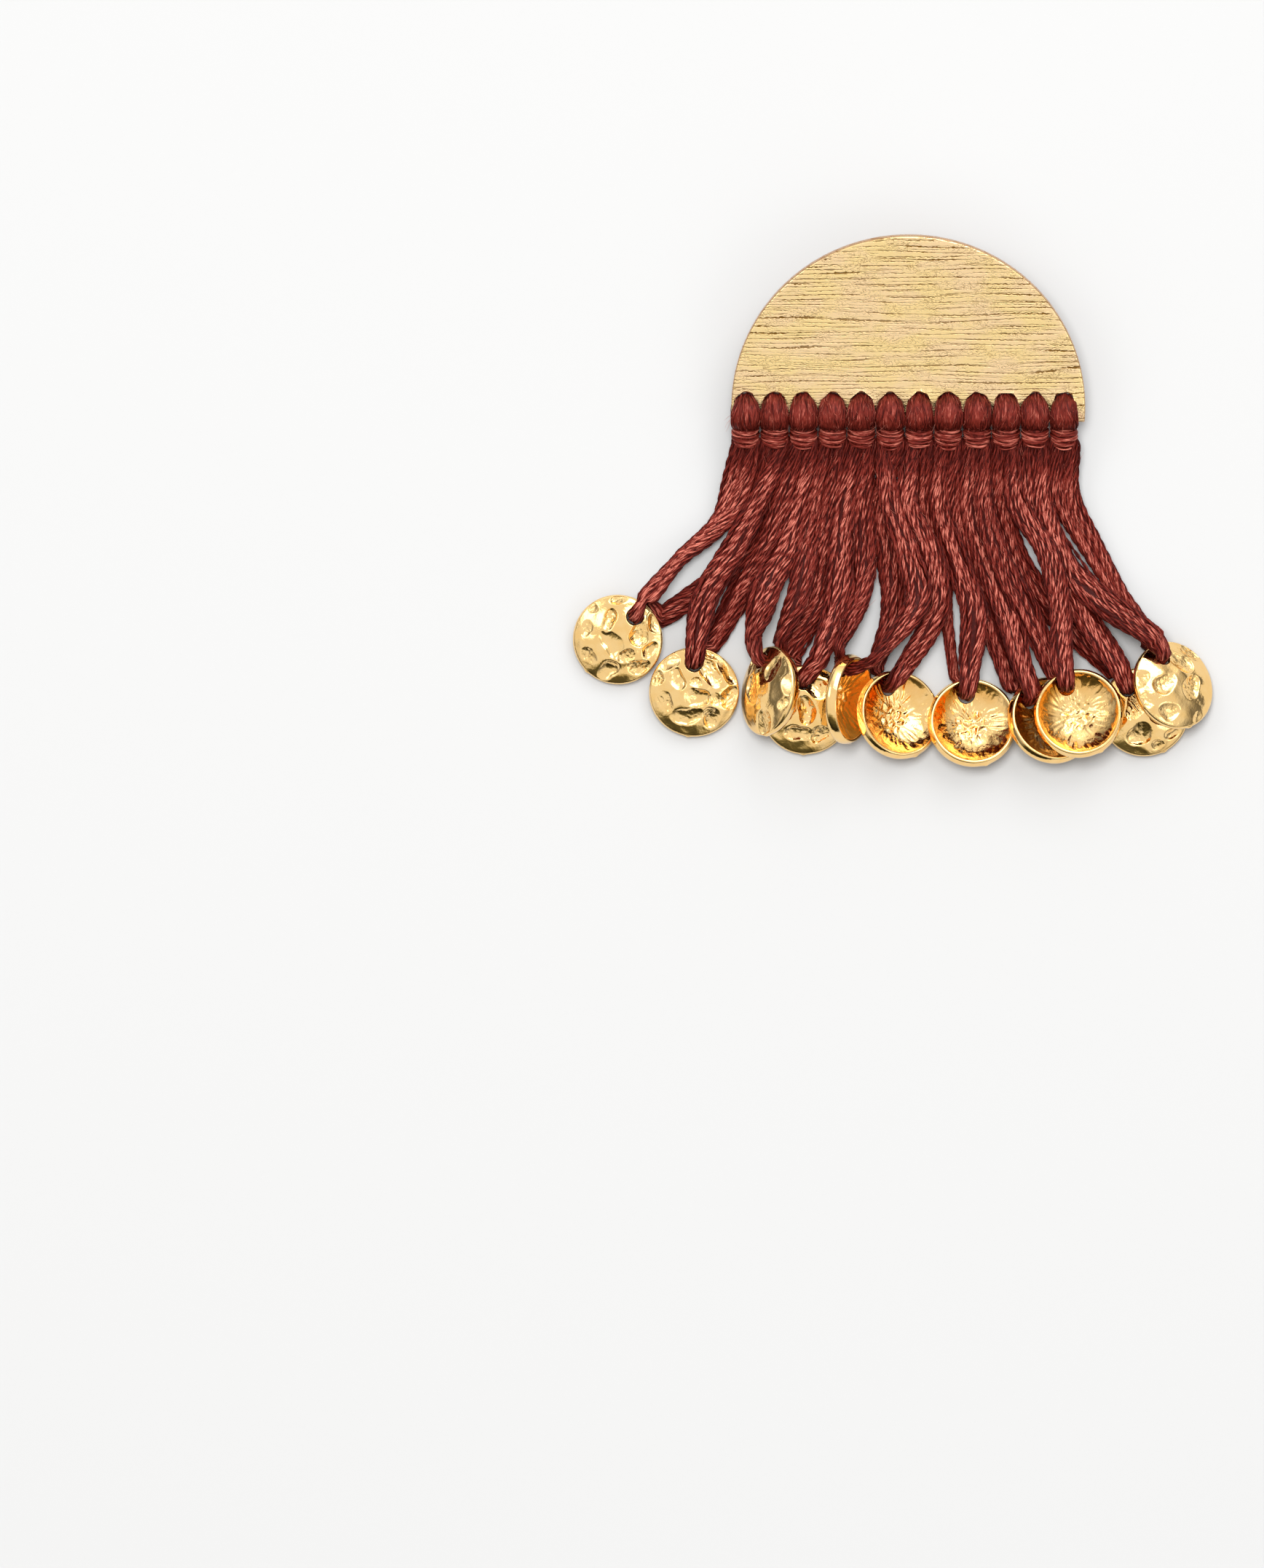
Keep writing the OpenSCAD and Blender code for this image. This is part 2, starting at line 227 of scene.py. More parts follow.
def lay_tubes(body: Body, centre: np.ndarray, across: np.ndarray, half: np.ndarray, thick: np.ndarray,
              sides: int, closed: bool = False, crest: np.ndarray | None = None, seed: int = 0,
              fine: float = 1.0, shade: np.ndarray | None = None) -> None:
    """Adds tubes of oval rings: ring point = centre + half cos(q) a + thick sin(q) b, with a across the
    path and b square to both.

    Args:
        body: takes the mesh.
        centre: tubes by rings by 3 places.
        across: tubes by rings by 3 rough directions for a.
        half: tubes by rings half widths along a.
        thick: tubes by rings half thicknesses along b.
        sides: points in a ring.
        closed: whether a tube's end meets its start.
        crest: tubes by rings by 3 directions in which the tube lies on top, for the painted shade between
            strands and the painted light on their tops.
        seed: draws each tube's own place in the fibre pattern.
        fine: how much finer the fibres are than on a single ply.
        shade: tubes by rings shares that the crest value is scaled by, for painted shade.
    """
    count, rings = centre.shape[:2]
    run = np.roll(centre, -1, axis=1) - np.roll(centre, 1, axis=1) if closed else np.gradient(centre, axis=1)
    a, b = (v[:, :, None] for v in square_to(run, across))
    q = 2 * np.pi * (np.arange(sides) + 0.5) / sides
    cos, sin = np.cos(q), np.sin(q)
    out = cos[:, None] * a + sin[:, None] * b
    ring = (half[..., None] * cos)[..., None] * a + (thick[..., None] * sin)[..., None] * b
    points = centre[:, :, None] + ring
    shift = np.random.default_rng(seed).uniform(0, 50, (count, 1, 1))
    length = run_length(centre)[..., None] * fine**0.2
    fibre = np.stack(np.broadcast_arrays(fine * cos + shift, fine * sin + shift, length), axis=-1)
    # The crest value is painted light and shade: lighter where a ring faces the crest direction, darker where
    # it faces away.
    top = np.ones(points.shape[:3]) if crest is None else 0.5 + 0.5 * (out * unit(crest)[:, :, None]).sum(-1)
    top = top if shade is None else top * shade[..., None]
    start = (np.arange(count) * rings * sides)[:, None, None]
    faces = [(start + grid_faces(rings, sides, closed)).reshape(-1, 4)]
    if not closed:
        first = start[:, 0] + np.arange(sides)
        faces += [first[:, ::-1], first + (rings - 1) * sides]
    body.add(points.reshape(-1, 3), faces, fibre=fibre.reshape(-1, 3), crest=top.ravel())


def lay_core(body: Body, centre: np.ndarray, across: np.ndarray, half: np.ndarray, thick: np.ndarray,
             sides: int, seed: int, fine: float, shade: float, closed: bool = False) -> None:
    """Adds the one tube that fills a bundle under its strands, its top painted lighter as if lit from above.

    Args:
        body: takes the mesh.
        centre: rings by 3 places.
        across: direction of the width, one for all rings or one a ring.
        half: half width of each ring.
        thick: half thickness of each ring.
        sides: points in a ring.
        seed: draws its place in the fibre pattern.
        fine: how much finer the fibres are than on a single ply.
        shade: share that the crest value is scaled by, for painted shade.
        closed: whether its end meets its start.
    """
    shape = (1, *centre.shape)
    lay_tubes(body, centre[None], np.broadcast_to(across, shape), half[None], thick[None], sides, closed,
              crest=np.broadcast_to(UP, shape), seed=seed, fine=fine, shade=np.full(shape[:2], shade))


class Wire:
    """A node's socket that Python's own signs work on, each adding a Math node."""

    def __init__(self, shade: Shade, socket: bpy.types.NodeSocket) -> None:
        """Keeps the socket and the material it belongs to."""
        self.shade = shade
        self.socket = socket

    def math(self, operation: str, *values: Wire | float) -> Wire:
        """Result of one Math node with this wire as its first value."""
        return self.shade.node("ShaderNodeMath", {"operation": operation}, dict(enumerate((self, *values))))

    def __add__(self, other: Wire | float) -> Wire:
        """This plus the other."""
        return self.math("ADD", other)

    def __mul__(self, other: Wire | float) -> Wire:
        """This times the other."""
        return self.math("MULTIPLY", other)

    def __sub__(self, other: Wire | float) -> Wire:
        """This less the other."""
        return self.math("SUBTRACT", other)

    def __rsub__(self, other: float) -> Wire:
        """A number less this."""
        return self.shade.node("ShaderNodeMath", {"operation": "SUBTRACT"}, {0: other, 1: self})

    def __truediv__(self, other: Wire | float) -> Wire:
        """This shared by the other."""
        return self.math("DIVIDE", other)

    def __pow__(self, other: Wire | float) -> Wire:
        """This to a power."""
        return self.math("POWER", other)

    __radd__ = __add__
    __rmul__ = __mul__

    def step(self, low: float, high: float) -> Wire:
        """Smooth step of this wire, from 0 at low to 1 at high; the other way round where low is larger."""
        values = {"Value": self, "From Min": min(low, high), "From Max": max(low, high),
                  "To Min": float(low > high), "To Max": float(low < high)}
        return self.shade.node("ShaderNodeMapRange", {"interpolation_type": "SMOOTHSTEP"}, values)


class Shade:
    """Node tree of a material or of the world, with one method that adds any node."""

    def __init__(self, tree: bpy.types.NodeTree) -> None:
        """Takes the tree and empties it."""
        self.tree = tree
        tree.nodes.clear()

    def node(self, kind: str, settings: dict | None = None, values: dict | None = None,
             out: int | str = 0) -> Wire:
        """Adds a node.

        Args:
            kind: the node's type.
            settings: its own settings, such as a Math node's operation, set first.
            values: number, tuple or wire for each input, by name or number.
            out: the output wanted.
        Returns:
            The output as a wire.
        """
        node = self.tree.nodes.new(kind)
        for name, value in (settings or {}).items():
            setattr(node, name, value)
        for key, value in (values or {}).items():
            if isinstance(value, Wire):
                self.tree.links.new(value.socket, node.inputs[key])
            else:
                node.inputs[key].default_value = value
        return Wire(self, node.outputs[out])

    def attribute(self, name: str, out: str = "Fac") -> Wire:
        """A value kept on the piece's points."""
        return self.node("ShaderNodeAttribute", {"attribute_name": name}, out=out)

    def stretch(self, vector: Wire, scale: tuple[float, float, float], move: float = 0.0) -> Wire:
        """Places scaled by three factors and moved, for a pattern that runs one way."""
        return self.node("ShaderNodeMapping", {}, {"Vector": vector, "Scale": scale, "Location": (move,) * 3})

    def noise(self, vector: Wire, scale: float, detail: float = 2.0, rough: float = 0.5,
              distort: float = 0.0) -> Wire:
        """Soft noise from 0 to 1, its cell size one over the scale."""
        return self.node("ShaderNodeTexNoise", {}, {"Vector": vector, "Scale": scale, "Detail": detail,
                                                    "Roughness": rough, "Distortion": distort})

    def mix(self, share: Wire | float, first: Wire | Colour, second: Wire | Colour) -> Wire:
        """Colour that goes from first to second as share goes from 0 to 1."""
        pair = [c if isinstance(c, Wire) else (*c, 1.0) for c in (first, second)]
        return self.node("ShaderNodeMix", {"data_type": "RGBA"}, {0: share, 6: pair[0], 7: pair[1]}, 2)

    def bump(self, height: Wire, distance: float, strength: float = 1.0) -> Wire:
        """Normal bent by a height whose full step is the distance, in metres."""
        return self.node("ShaderNodeBump", {}, {"Height": height, "Distance": distance, "Strength": strength})


class Finish(Shade):
    """Material round one Principled shader."""

    def __init__(self, name: str) -> None:
        """Makes the material with its shader and output."""
        self.material = bpy.data.materials.new(name)
        self.material.use_nodes = True
        super().__init__(self.material.node_tree)
        self.shader = self.tree.nodes.new("ShaderNodeBsdfPrincipled")
        end = self.tree.nodes.new("ShaderNodeOutputMaterial")
        self.tree.links.new(self.shader.outputs[0], end.inputs[0])

    def set(self, **sockets: Wire | float | tuple) -> None:
        """Sets the shader's sockets, named with _ for each space."""
        names = {s.name.replace(" ", "_").lower(): s for s in self.shader.inputs}
        for key, value in sockets.items():
            if isinstance(value, Wire):
                self.tree.links.new(value.socket, names[key])
            else:
                names[key].default_value = (*value, 1.0) if isinstance(value, tuple) else value


@dataclass(frozen=True)
class ThreadFinish:
    """Soft shiny cotton: painted shade between strands, painted highlights on their crests, and bright fine
    fibre streaks along them.
    """

    name: str = "thread"
    # Colours: deep is the painted shade between strands and plies, body the thread's own red, light the
    # painted highlight on ply crests and the brightest fibre streaks.
    deep: Colour = (0.028, 0.0018, 0.0010)
    body: Colour = (0.124, 0.0135, 0.0085)
    light: Colour = (0.470, 0.138, 0.098)
    roughness: float = 0.45
    gloss: float = 0.12
    fibre_m: float = 0.00006

    def build(self) -> bpy.types.Material:
        """Makes the material: colour by the painted light and shade of the crest value and by fibre streaks,
        with the fibres as a bump.
        """
        f = Finish(self.name)
        fibre = f.attribute("fibre", "Vector")
        crest = f.attribute("crest")
        hair = f.noise(f.stretch(fibre, (1.3, 1.3, 1.2)), 1.0, 2.0, 0.55)
        patch = f.noise(f.stretch(fibre, (0.5, 0.5, 0.45), 7.0), 1.0, 2.0)
        # Tone: the painted light and shade of the crest value, plus fibre streaks and random patches.
        tone = crest**1.5 * 1.12 + (hair - 0.5) * 1.5 + (patch - 0.5) * 0.6
        colour = f.mix(tone.step(0.05, 0.60), self.deep, self.body)
        colour = f.mix(tone.step(0.55, 1.15), colour, self.light)
        f.set(base_color=colour, roughness=self.roughness, specular_ior_level=self.gloss,
              normal=f.bump(hair, self.fibre_m, 0.7))
        return f.material


@dataclass(frozen=True)
class HammeredFinish:
    """Bright plated gold with fine crumpled marks, a painted reflection, deeper in colour, where a hollow
    mirrors itself, and a painted glow in steep hollows.
    """

    name: str = "hammered_gold"
    gold: Colour = (0.98, 0.665, 0.285)
    deep: Colour = (0.90, 0.52, 0.14)
    # Below: the colour of the painted reflection of gold in its own hollow, and the colour of the painted
    # glow in steep hollows.
    painted_reflection: Colour = (0.80, 0.33, 0.035)
    painted_glow_colour: Colour = (0.38, 0.13, 0.010)
    dark: Colour = (0.0, 0.0, 0.0)
    crease_m: float = 0.00030

    def build(self) -> bpy.types.Material:
        """Makes the material from a dish's attributes: crumple creases and roughens the gold, a painted
        reflection deepens its colour where a hollow mirrors itself, and a painted glow, given as emission,
        stands for the light thrown from wall to wall in a steep hollow."""
        f = Finish(self.name)
        plan = f.attribute("plan", "Vector")
        crumple = f.attribute("crumple")
        cloud = f.noise(plan, 0.9, 2.0)
        ridge = f.noise(plan, 2.2, 3.0, 0.6, 0.6)
        fine = f.noise(plan, 1.3, 3.0, 0.55, 0.4)
        colour = f.mix(cloud.step(0.35, 0.7) * 0.35, self.gold, self.deep)
        colour = f.mix(f.attribute("painted_reflection"), colour, self.painted_reflection)
        height = ridge * crumple + fine * 0.12
        painted_glow = f.mix(f.attribute("painted_glow") * (cloud + 0.4), self.dark, self.painted_glow_colour)
        f.set(base_color=colour, metallic=1.0, emission_color=painted_glow, emission_strength=1.0,
              roughness=crumple * 0.07 + 0.08, normal=f.bump(height, self.crease_m, 0.8))
        return f.material


@dataclass(frozen=True)
class BrushedFinish:
    """Pale gold plate with long dark brush lines that come and go, and fine worm marks."""

    name: str = "brushed_gold"
    gold: Colour = (1.0, 0.725, 0.41)
    yellow: Colour = (1.0, 0.745, 0.345)
    line: Colour = (0.24, 0.115, 0.020)
    rim: Colour = (0.52, 0.27, 0.12)
    long_pitch: float = 0.72
    short_pitch: float = 0.45
    line_m: float = 0.00008
    front: float = 1.2

    @staticmethod
    def rows(f: Finish, plan: Wire, lift: Wire, pitch: float, move: float) -> Wire:
        """Uneven rows of brush lines: how far a point lies from the nearest, as a share of the pitch.

        The lines lie half way between the whole numbers of height over pitch, which a long slow noise
        pushes up and down, so that they close up, spread and wander.

        Args:
            f: the material.
            plan: places on the plate.
            lift: how far the lines are bent upwards, in millimetres.
            pitch: the rows' mean distance, in millimetres.
            move: where in the slow noise this set of rows lies.
        Returns:
            The distance, from 0 on a line to a half between two.
        """
        slow = f.noise(f.stretch(plan, (0.035, 0.5, 1.0), move), 1.0, 1.0)
        height = f.node("ShaderNodeSeparateXYZ", {}, {0: plan}, "Y")
        level = (height + lift) / pitch + (slow - 0.5) * 2.2
        return (level.math("FRACT") - 0.5).math("ABSOLUTE")

    def build(self) -> bpy.types.Material:
        """Makes the material: two sets of uneven rows are the brush lines, and level lines of a noise the
        worm marks between them. The side below the front face is the darker rim."""
        f = Finish(self.name)
        plan = f.attribute("plan", "Vector")
        height = f.node("ShaderNodeSeparateXYZ", {}, {0: plan}, "Z")
        sway = f.noise(f.stretch(plan, (0.06, 0.25, 1.0)), 1.0, 1.0)
        rag = f.noise(f.stretch(plan, (2.6, 5.0, 1.0), 41.0), 1.0, 2.0)
        lift = (sway - 0.5) * 1.6 + (rag - 0.5) * 0.36
        long = self.rows(f, plan, lift, self.long_pitch, 7.0)
        short = self.rows(f, plan, lift * 0.8, self.short_pitch, 11.0)
        worm = f.noise(f.stretch(plan, (1.6, 3.6, 1.0), 23.0), 1.0, 2.0, 0.6)
        where = f.noise(f.stretch(plan, (0.14, 1.9, 1.0), 31.0), 1.0, 2.0)
        there = f.noise(f.stretch(plan, (0.30, 0.8, 1.0), 57.0), 1.0, 2.0)
        edge = f.attribute("edge")
        line = long.step(0.135, 0.05) * where.step(0.42, 0.56)
        hair = short.step(0.15, 0.05) * where.step(0.60, 0.46) * there.step(0.58, 0.46)
        mark = (worm - 0.5).math("ABSOLUTE").step(0.05, 0.015) * there.step(0.46, 0.62)
        dark = (line * 0.95).math("MAXIMUM", hair * 0.75).math("MAXIMUM", mark * 0.55)
        dark = dark * (edge * 0.28 + 0.80)
        patch = f.noise(f.stretch(plan, (0.25, 0.5, 1.0), 3.0), 1.0, 3.0)
        colour = f.mix(patch.step(0.35, 0.66), self.gold, self.yellow)
        colour = f.mix(dark.math("MINIMUM", 1.0), colour, self.line)
        side = height.step(self.front - 0.02, self.front - 0.12)
        colour = f.mix(side * 0.8, colour, self.rim)
        grain = f.noise(f.stretch(plan, (0.9, 9.0, 1.0), 5.0), 1.0, 2.0)
        f.set(base_color=colour, metallic=1.0, roughness=dark * 0.25 + 0.27,
              normal=f.bump(grain * 0.3 - dark, self.line_m, 0.6))
        return f.material


@dataclass(frozen=True)
class PostFinish:
    """Plain polished gold with faint turning marks, for the pin and its pad."""

    name: str = "gold_post"
    gold: Colour = (1.0, 0.73, 0.37)
    worn: Colour = (0.92, 0.66, 0.33)
    mark_m: float = 0.00002

    def build(self) -> bpy.types.Material:
        """Makes the material from Object coordinates, which are in metres."""
        f = Finish(self.name)
        place = f.node("ShaderNodeTexCoord", out="Object")
        cloud = f.noise(place, 900.0, 3.0)
        grain = f.noise(f.stretch(place, (1500.0, 1500.0, 9000.0)), 1.0, 2.0)
        f.set(base_color=f.mix(cloud, self.gold, self.worn), metallic=1.0, roughness=cloud * 0.12 + 0.16,
              normal=f.bump(grain, self.mark_m, 0.3))
        return f.material


class Shows(Enum):
    """Which side of a dish the camera sees."""

    DOME = 1
    HOLLOW = -1


class Way(Enum):
    """How a lock of thread comes to the eye of its dish."""

    OVER = "over its edge and down through the eye"
    UNDER = "under the dish"
    INTO = "straight into a steep hollow"
    JOIN_OVER = "over the edge beside its twin"
    JOIN_UNDER = "under the dish beside its twin"

    @property
    def under(self) -> bool:
        """Whether the lock stays below its dish."""
        return self in (Way.UNDER, Way.JOIN_UNDER)

    @property
    def joins(self) -> bool:
        """Whether the lock lies beside the knot's other one on the same dish."""
        return self in (Way.JOIN_OVER, Way.JOIN_UNDER)


@dataclass(frozen=True)
class Layout:
    """Sizes of the whole and where its parts hang, as in the part's source.

    The middle is the place in the source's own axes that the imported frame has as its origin.
    """

    plate_r: float = 20.05
    plate_drop: float = 1.65
    plate_t: float = 1.2
    edge_lift: float = 3.0
    hole_d: float = 2.3
    hole_web: float = 1.15
    pitch: float = 3.28
    row_shift: float = -0.4
    post_d: float = 0.8
    pin_reach: float = 7.6
    post_up: float = 17.0
    fall: float = 34.2
    knots: int = 12
    middle: tuple[float, float, float] = (-1.70954, -9.24581, 0.0)

    @property
    def lean(self) -> float:
        """Angle in radians that the plate leans back by, until the pin's tip meets the floor."""
        rise = self.post_up - self.post_d / 2
        return np.arccos(self.edge_lift / np.hypot(rise, self.pin_reach)) - np.arctan2(rise, self.pin_reach)

    @property
    def hole_up(self) -> float:
        """Height of the holes' middles above the straight edge."""
        return self.hole_web + self.hole_d / 2

    def hole_u(self, k: int) -> float:
        """Place along the straight edge of hole k, counted from 1."""
        return self.row_shift + (k - (self.knots + 1) / 2) * self.pitch

    def on_plate(self, u: np.ndarray | float, v: np.ndarray | float, w: np.ndarray | float) -> np.ndarray:
        """Places from u along the straight edge, v up the plate and w out of its back face."""
        u, v, w = np.broadcast_arrays(u, v, w)
        c, s = np.cos(self.lean), np.sin(self.lean)
        return np.stack([u, v * c - w * s, self.edge_lift + v * s + w * c], axis=-1) - np.array(self.middle)


@dataclass(frozen=True)
class Plate:
    """Half round plate: a rounded edge carried round the outline and round each thread hole, between a
    front and a back face."""

    layout: Layout
    soft: float = 0.22
    arc_steps: int = 220
    flat_steps: int = 120
    hole_steps: int = 40
    bend_steps: int = 6
    cell: float = 0.75
    clear_of_rim: float = 0.6
    clear_of_row: float = 3.6
    weld_m: float = 0.000002

    def outline(self, inset: float) -> np.ndarray:
        """Outline of the half round moved in by inset: points of its arc, then of its straight edge."""
        drop, r = self.layout.plate_drop, self.layout.plate_r - inset
        low = inset - drop
        end = np.arcsin(low / r)
        arc = np.linspace(end, np.pi - end, self.arc_steps)
        flat = np.linspace(-r * np.cos(end), r * np.cos(end), self.flat_steps)[1:-1]
        curve = np.c_[r * np.cos(arc), r * np.sin(arc) + drop]
        return np.vstack([curve, np.c_[flat, np.full(len(flat), low + drop)]])

    def hole(self, k: int, widen: float) -> np.ndarray:
        """Outline of thread hole k made wider all round, run the other way round."""
        turn = -2 * np.pi * np.arange(self.hole_steps) / self.hole_steps
        r = self.layout.hole_d / 2 + widen
        return np.c_[self.layout.hole_u(k) + r * np.cos(turn), self.layout.hole_up + r * np.sin(turn)]

    def build(self, finish: bpy.types.Material) -> bpy.types.Object:
        """Makes the plate.

        The edge is a quarter bend at the back, a straight side and a quarter bend at the front, as an inset
        from the outline and a height above the back face.

        Args:
            finish: its material.
        Returns:
            The piece, which stands for the node plate.
        """
        t = self.layout.plate_t
        bend = np.radians(np.linspace(0, 90, self.bend_steps))
        rise, sink = self.soft * (1 - np.cos(bend)), self.soft * (1 - np.sin(bend))
        inset, height = np.r_[sink, 0.0, rise], np.r_[rise, t / 2, t - sink]
        body = Body()
        rims: list[np.ndarray] = []
        for edge in (self.outline, *(partial(self.hole, k) for k in range(1, self.layout.knots + 1))):
            rings = [edge(i) for i in inset]
            around = len(rings[0])
            self.add(body, np.vstack(rings), np.repeat(height, around), [grid_faces(len(inset), around)])
            rims.append(rings[-1])
        self.fill(body, rims, t, False)
        self.fill(body, rims, 0.0, True)
        piece = body.write("brushed_plate", finish)
        self.weld(piece)
        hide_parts("plate")
        return piece

    def add(self, body: Body, uv: np.ndarray, w: np.ndarray, faces: list[np.ndarray]) -> None:
        """Adds points given on the plate, with their plan and their nearness to the rim."""
        far = np.hypot(uv[:, 0], uv[:, 1] - self.layout.plate_drop) / self.layout.plate_r
        places = self.layout.on_plate(uv[:, 0], uv[:, 1], w)
        body.add(places, faces, plan=np.c_[uv, w], edge=smoothstep(0.55, 1.0, far))

    def fill(self, body: Body, rims: list[np.ndarray], w: float, back: bool) -> None:
        """Fills a flat face between the outline and the holes with triangles.

        Args:
            body: takes the mesh.
            rims: the outline, then the holes' outlines.
            w: the face's height above the back.
            back: whether it is the back face, which faces down.
        """
        lay = self.layout
        grid = np.meshgrid(np.arange(-19.5, 19.6, self.cell), np.arange(0.4, 21.4, self.cell))
        grid = np.stack(grid, -1).reshape(-1, 2)
        inside = np.linalg.norm(grid - [0, lay.plate_drop], axis=1) < lay.plate_r - self.clear_of_rim
        points = np.vstack([*rims, grid[inside & (grid[:, 1] > self.clear_of_row)]])
        edges: list[list[int]] = []
        for rim in rims:
            i = len(edges) + np.arange(len(rim))
            edges += np.c_[i, np.roll(i, -1)].tolist()
        found = mathutils.geometry.delaunay_2d_cdt([mathutils.Vector(p) for p in points], edges, [], 2, 1e-6)
        uv = np.array([tuple(v) for v in found[0]])
        faces = np.array([f for f in found[2] if len(f) == 3])
        holes = np.array([[lay.hole_u(k), lay.hole_up] for k in range(1, lay.knots + 1)])
        far = np.linalg.norm(uv[faces].mean(1)[:, None] - holes, axis=-1).min(1)
        faces = faces[far > lay.hole_d / 2 + 0.02]
        self.add(body, uv, np.full(len(uv), w), [faces[:, ::-1] if back else faces])

    def weld(self, piece: bpy.types.Object) -> None:
        """Joins the doubled points where the rims meet the flat faces, and turns every face outwards."""
        shell = bmesh.new()
        shell.from_mesh(piece.data)
        bmesh.ops.remove_doubles(shell, verts=shell.verts, dist=self.weld_m)
        bmesh.ops.recalc_face_normals(shell, faces=shell.faces)
        shell.to_mesh(piece.data)
        shell.free()


@dataclass(frozen=True)
class Charm:
    """Dish charm: its mouth at z 0, its dome up and its eye towards +X before it is placed.

    The part's source has the eye's middle eye_web and hole_r in from the edge; the one modelled here is a
    little smaller and lies eye_out from the dish's middle, so that the thread fills it.
    """

    number: int
    across: float
    down: float
    shows: Shows
    tip: float
    towards: float
    high: float
    eye: float
    marks: tuple[tuple[float, ...], ...] = ()
    disc_r: float = 5.1
    mouth_r: float = 4.85
    side_h: float = 1.2
    dome_h: float = 1.2
    dome_edge: float = 4.93
    bowl_edge: float = 4.5
    eye_web: float = 0.55
    hole_r: float = 1.05
    eye_r: float = 1.0
    eye_out: float = 3.45
    around: int = 170
    seen_rings: int = 62
    hidden_rings: int = 14
    eye_rings: int = 3
    nib_at: float = 172
    nib_h: float = 0.13
    # Side where the painted reflection is strongest, the tip above which a hollow gets the painted glow, and
    # that glow's strength.
    painted_reflection_side: float = 222
    steep: float = 45
    glow: float = 0.60

    @property
    def domed(self) -> bool:
        """Whether the camera sees its dome."""
        return self.shows is Shows.DOME

    @property
    def bowl_depth(self) -> float:
        """Depth of the hollow, deeper where the camera looks into it."""
        return 1.65 if self.domed else 1.95

    @property
    def dome_r(self) -> float:
        """Radius of the ball that the dome is part of."""
        return (self.disc_r**2 + self.dome_h**2) / (2 * self.dome_h)

    @property
    def bowl_r(self) -> float:
        """Radius of the ball that the hollow is part of."""
        return (self.bowl_edge**2 + self.bowl_depth**2) / (2 * self.bowl_depth)

    @property
    def height(self) -> float:
        """Height of the whole dish."""
        return self.side_h + self.dome_h

    def reach(self, e: np.ndarray) -> float:
        """How far the dish reaches from the middle of its mouth along e: its mouth, its side or its dome."""
        c = float(np.clip(self.facing() @ e, -1, 1)) * self.shows.value
        s = np.sqrt(1 - c * c)
        on_dome = c > 0 and s < self.disc_r / self.dome_r
        ball = c * (self.height - self.dome_r) + self.dome_r if on_dome else 0
        sides = (c * up + self.disc_r * s for up in (self.side_h / 2, self.side_h))
        return max(self.mouth_r * s, *sides, ball)

    def facing(self) -> np.ndarray:
        """Direction in which the side that the camera sees faces."""
        t = np.radians(self.tip)
        return np.sin(t) * along(self.towards) + np.cos(t) * UP

    def to_eye(self, swing: float = 0.0) -> np.ndarray:
        """Direction in the dish's own plane from its middle to its eye, swung by an angle."""
        a, t = np.radians(self.eye + swing - self.towards), np.radians(self.tip)
        lean = np.cos(t) * along(self.towards) - np.sin(t) * UP
        return np.cos(a) * lean + np.sin(a) * along(self.towards + 90)

    def place(self, layout: Layout) -> np.ndarray:
        """Middle of the mouth."""
        x, y = self.across * 2 * self.disc_r, -self.down * layout.fall
        return np.array([x, y, self.reach(-UP) + self.high * self.height]) - np.array(layout.middle)

    def spin(self) -> np.ndarray:
        """Matrix that turns the dish from its own axes into its place."""
        flip = turned(0 if self.domed else 180, "X")
        roll = turned(self.shows.value * (self.eye - self.towards), "Z")
        return turned(self.towards, "Z") @ turned(self.tip, "Y") @ flip @ roll

    def circles(self, share: np.ndarray, edge: float) -> np.ndarray:
        """Nested circles from the eye, at share 0, to a circle round the middle, at share 1.

        Circle s has its centre at eye_out (1 - s) and its radius at eye_r + s (edge - eye_r).
        """
        turn = 2 * np.pi * np.arange(self.around) / self.around
        r = (self.eye_r + share * (edge - self.eye_r))[:, None]
        x = (self.eye_out * (1 - share))[:, None] + r * np.cos(turn)
        return np.stack([x, r * np.sin(turn)], axis=-1)

    def dented(self, xy: np.ndarray) -> tuple[np.ndarray, np.ndarray]:
        """Depth of the hammer marks and how crumpled their floors are.

        Each mark is an oval cap: with p the distance in units of its own edge, which waves with the angle,
        its depth is deep (1 - p^2)^0.78 inside and it has a low lip just outside.

        Args:
            xy: places in the dish's own plane.
        Returns:
            Depth and crumple, one of each for a place.
        """
        depth, crumple = np.zeros(xy.shape[:-1]), np.zeros(xy.shape[:-1])
        slope = np.radians(self.tip)
        lean, side = along(self.towards)[:2], along(self.towards + 90)[:2]
        own = turned(-self.eye, "Z")[:2, :2]
        strength = 2.2 if self.domed else 0.7
        for i, (right, high, long, wide, turn, deep, rough) in enumerate(self.marks):
            long, wide = 1.12 * long, 1.16 * wide
            seen = np.array([right, high])
            a = (seen @ lean - 0.9 * self.height * np.sin(slope)) / np.cos(slope)
            centre = own @ (a * lean + (seen @ side) * side)
            d = (xy - centre) @ turned(self.eye - turn, "Z")[:2, :2].T
            angle = np.arctan2(d[..., 1], d[..., 0])
            wave = 1 + 0.10 * np.sin(2 * angle + i) + 0.08 * np.sin(3 * angle + 2.1 * i + self.number)
            p = np.hypot(d[..., 0] / (long / 2), d[..., 1] / (wide / 2)) / wave
            deeper = 1 + 0.5 * np.clip(d @ along(137 * (i + self.number))[:2] / (long / 2), -1, 1)
            cap = strength * deep * deeper * np.clip(1 - p**2, 0, None) ** 0.78
            lip = 0.20 * strength * deep * hump(p, 1.10, 0.11)
            depth = np.maximum(depth, cap) - lip * (cap == 0)
            crumple = np.maximum(crumple, rough * smoothstep(1.0, 0.75, p))
        return depth, crumple

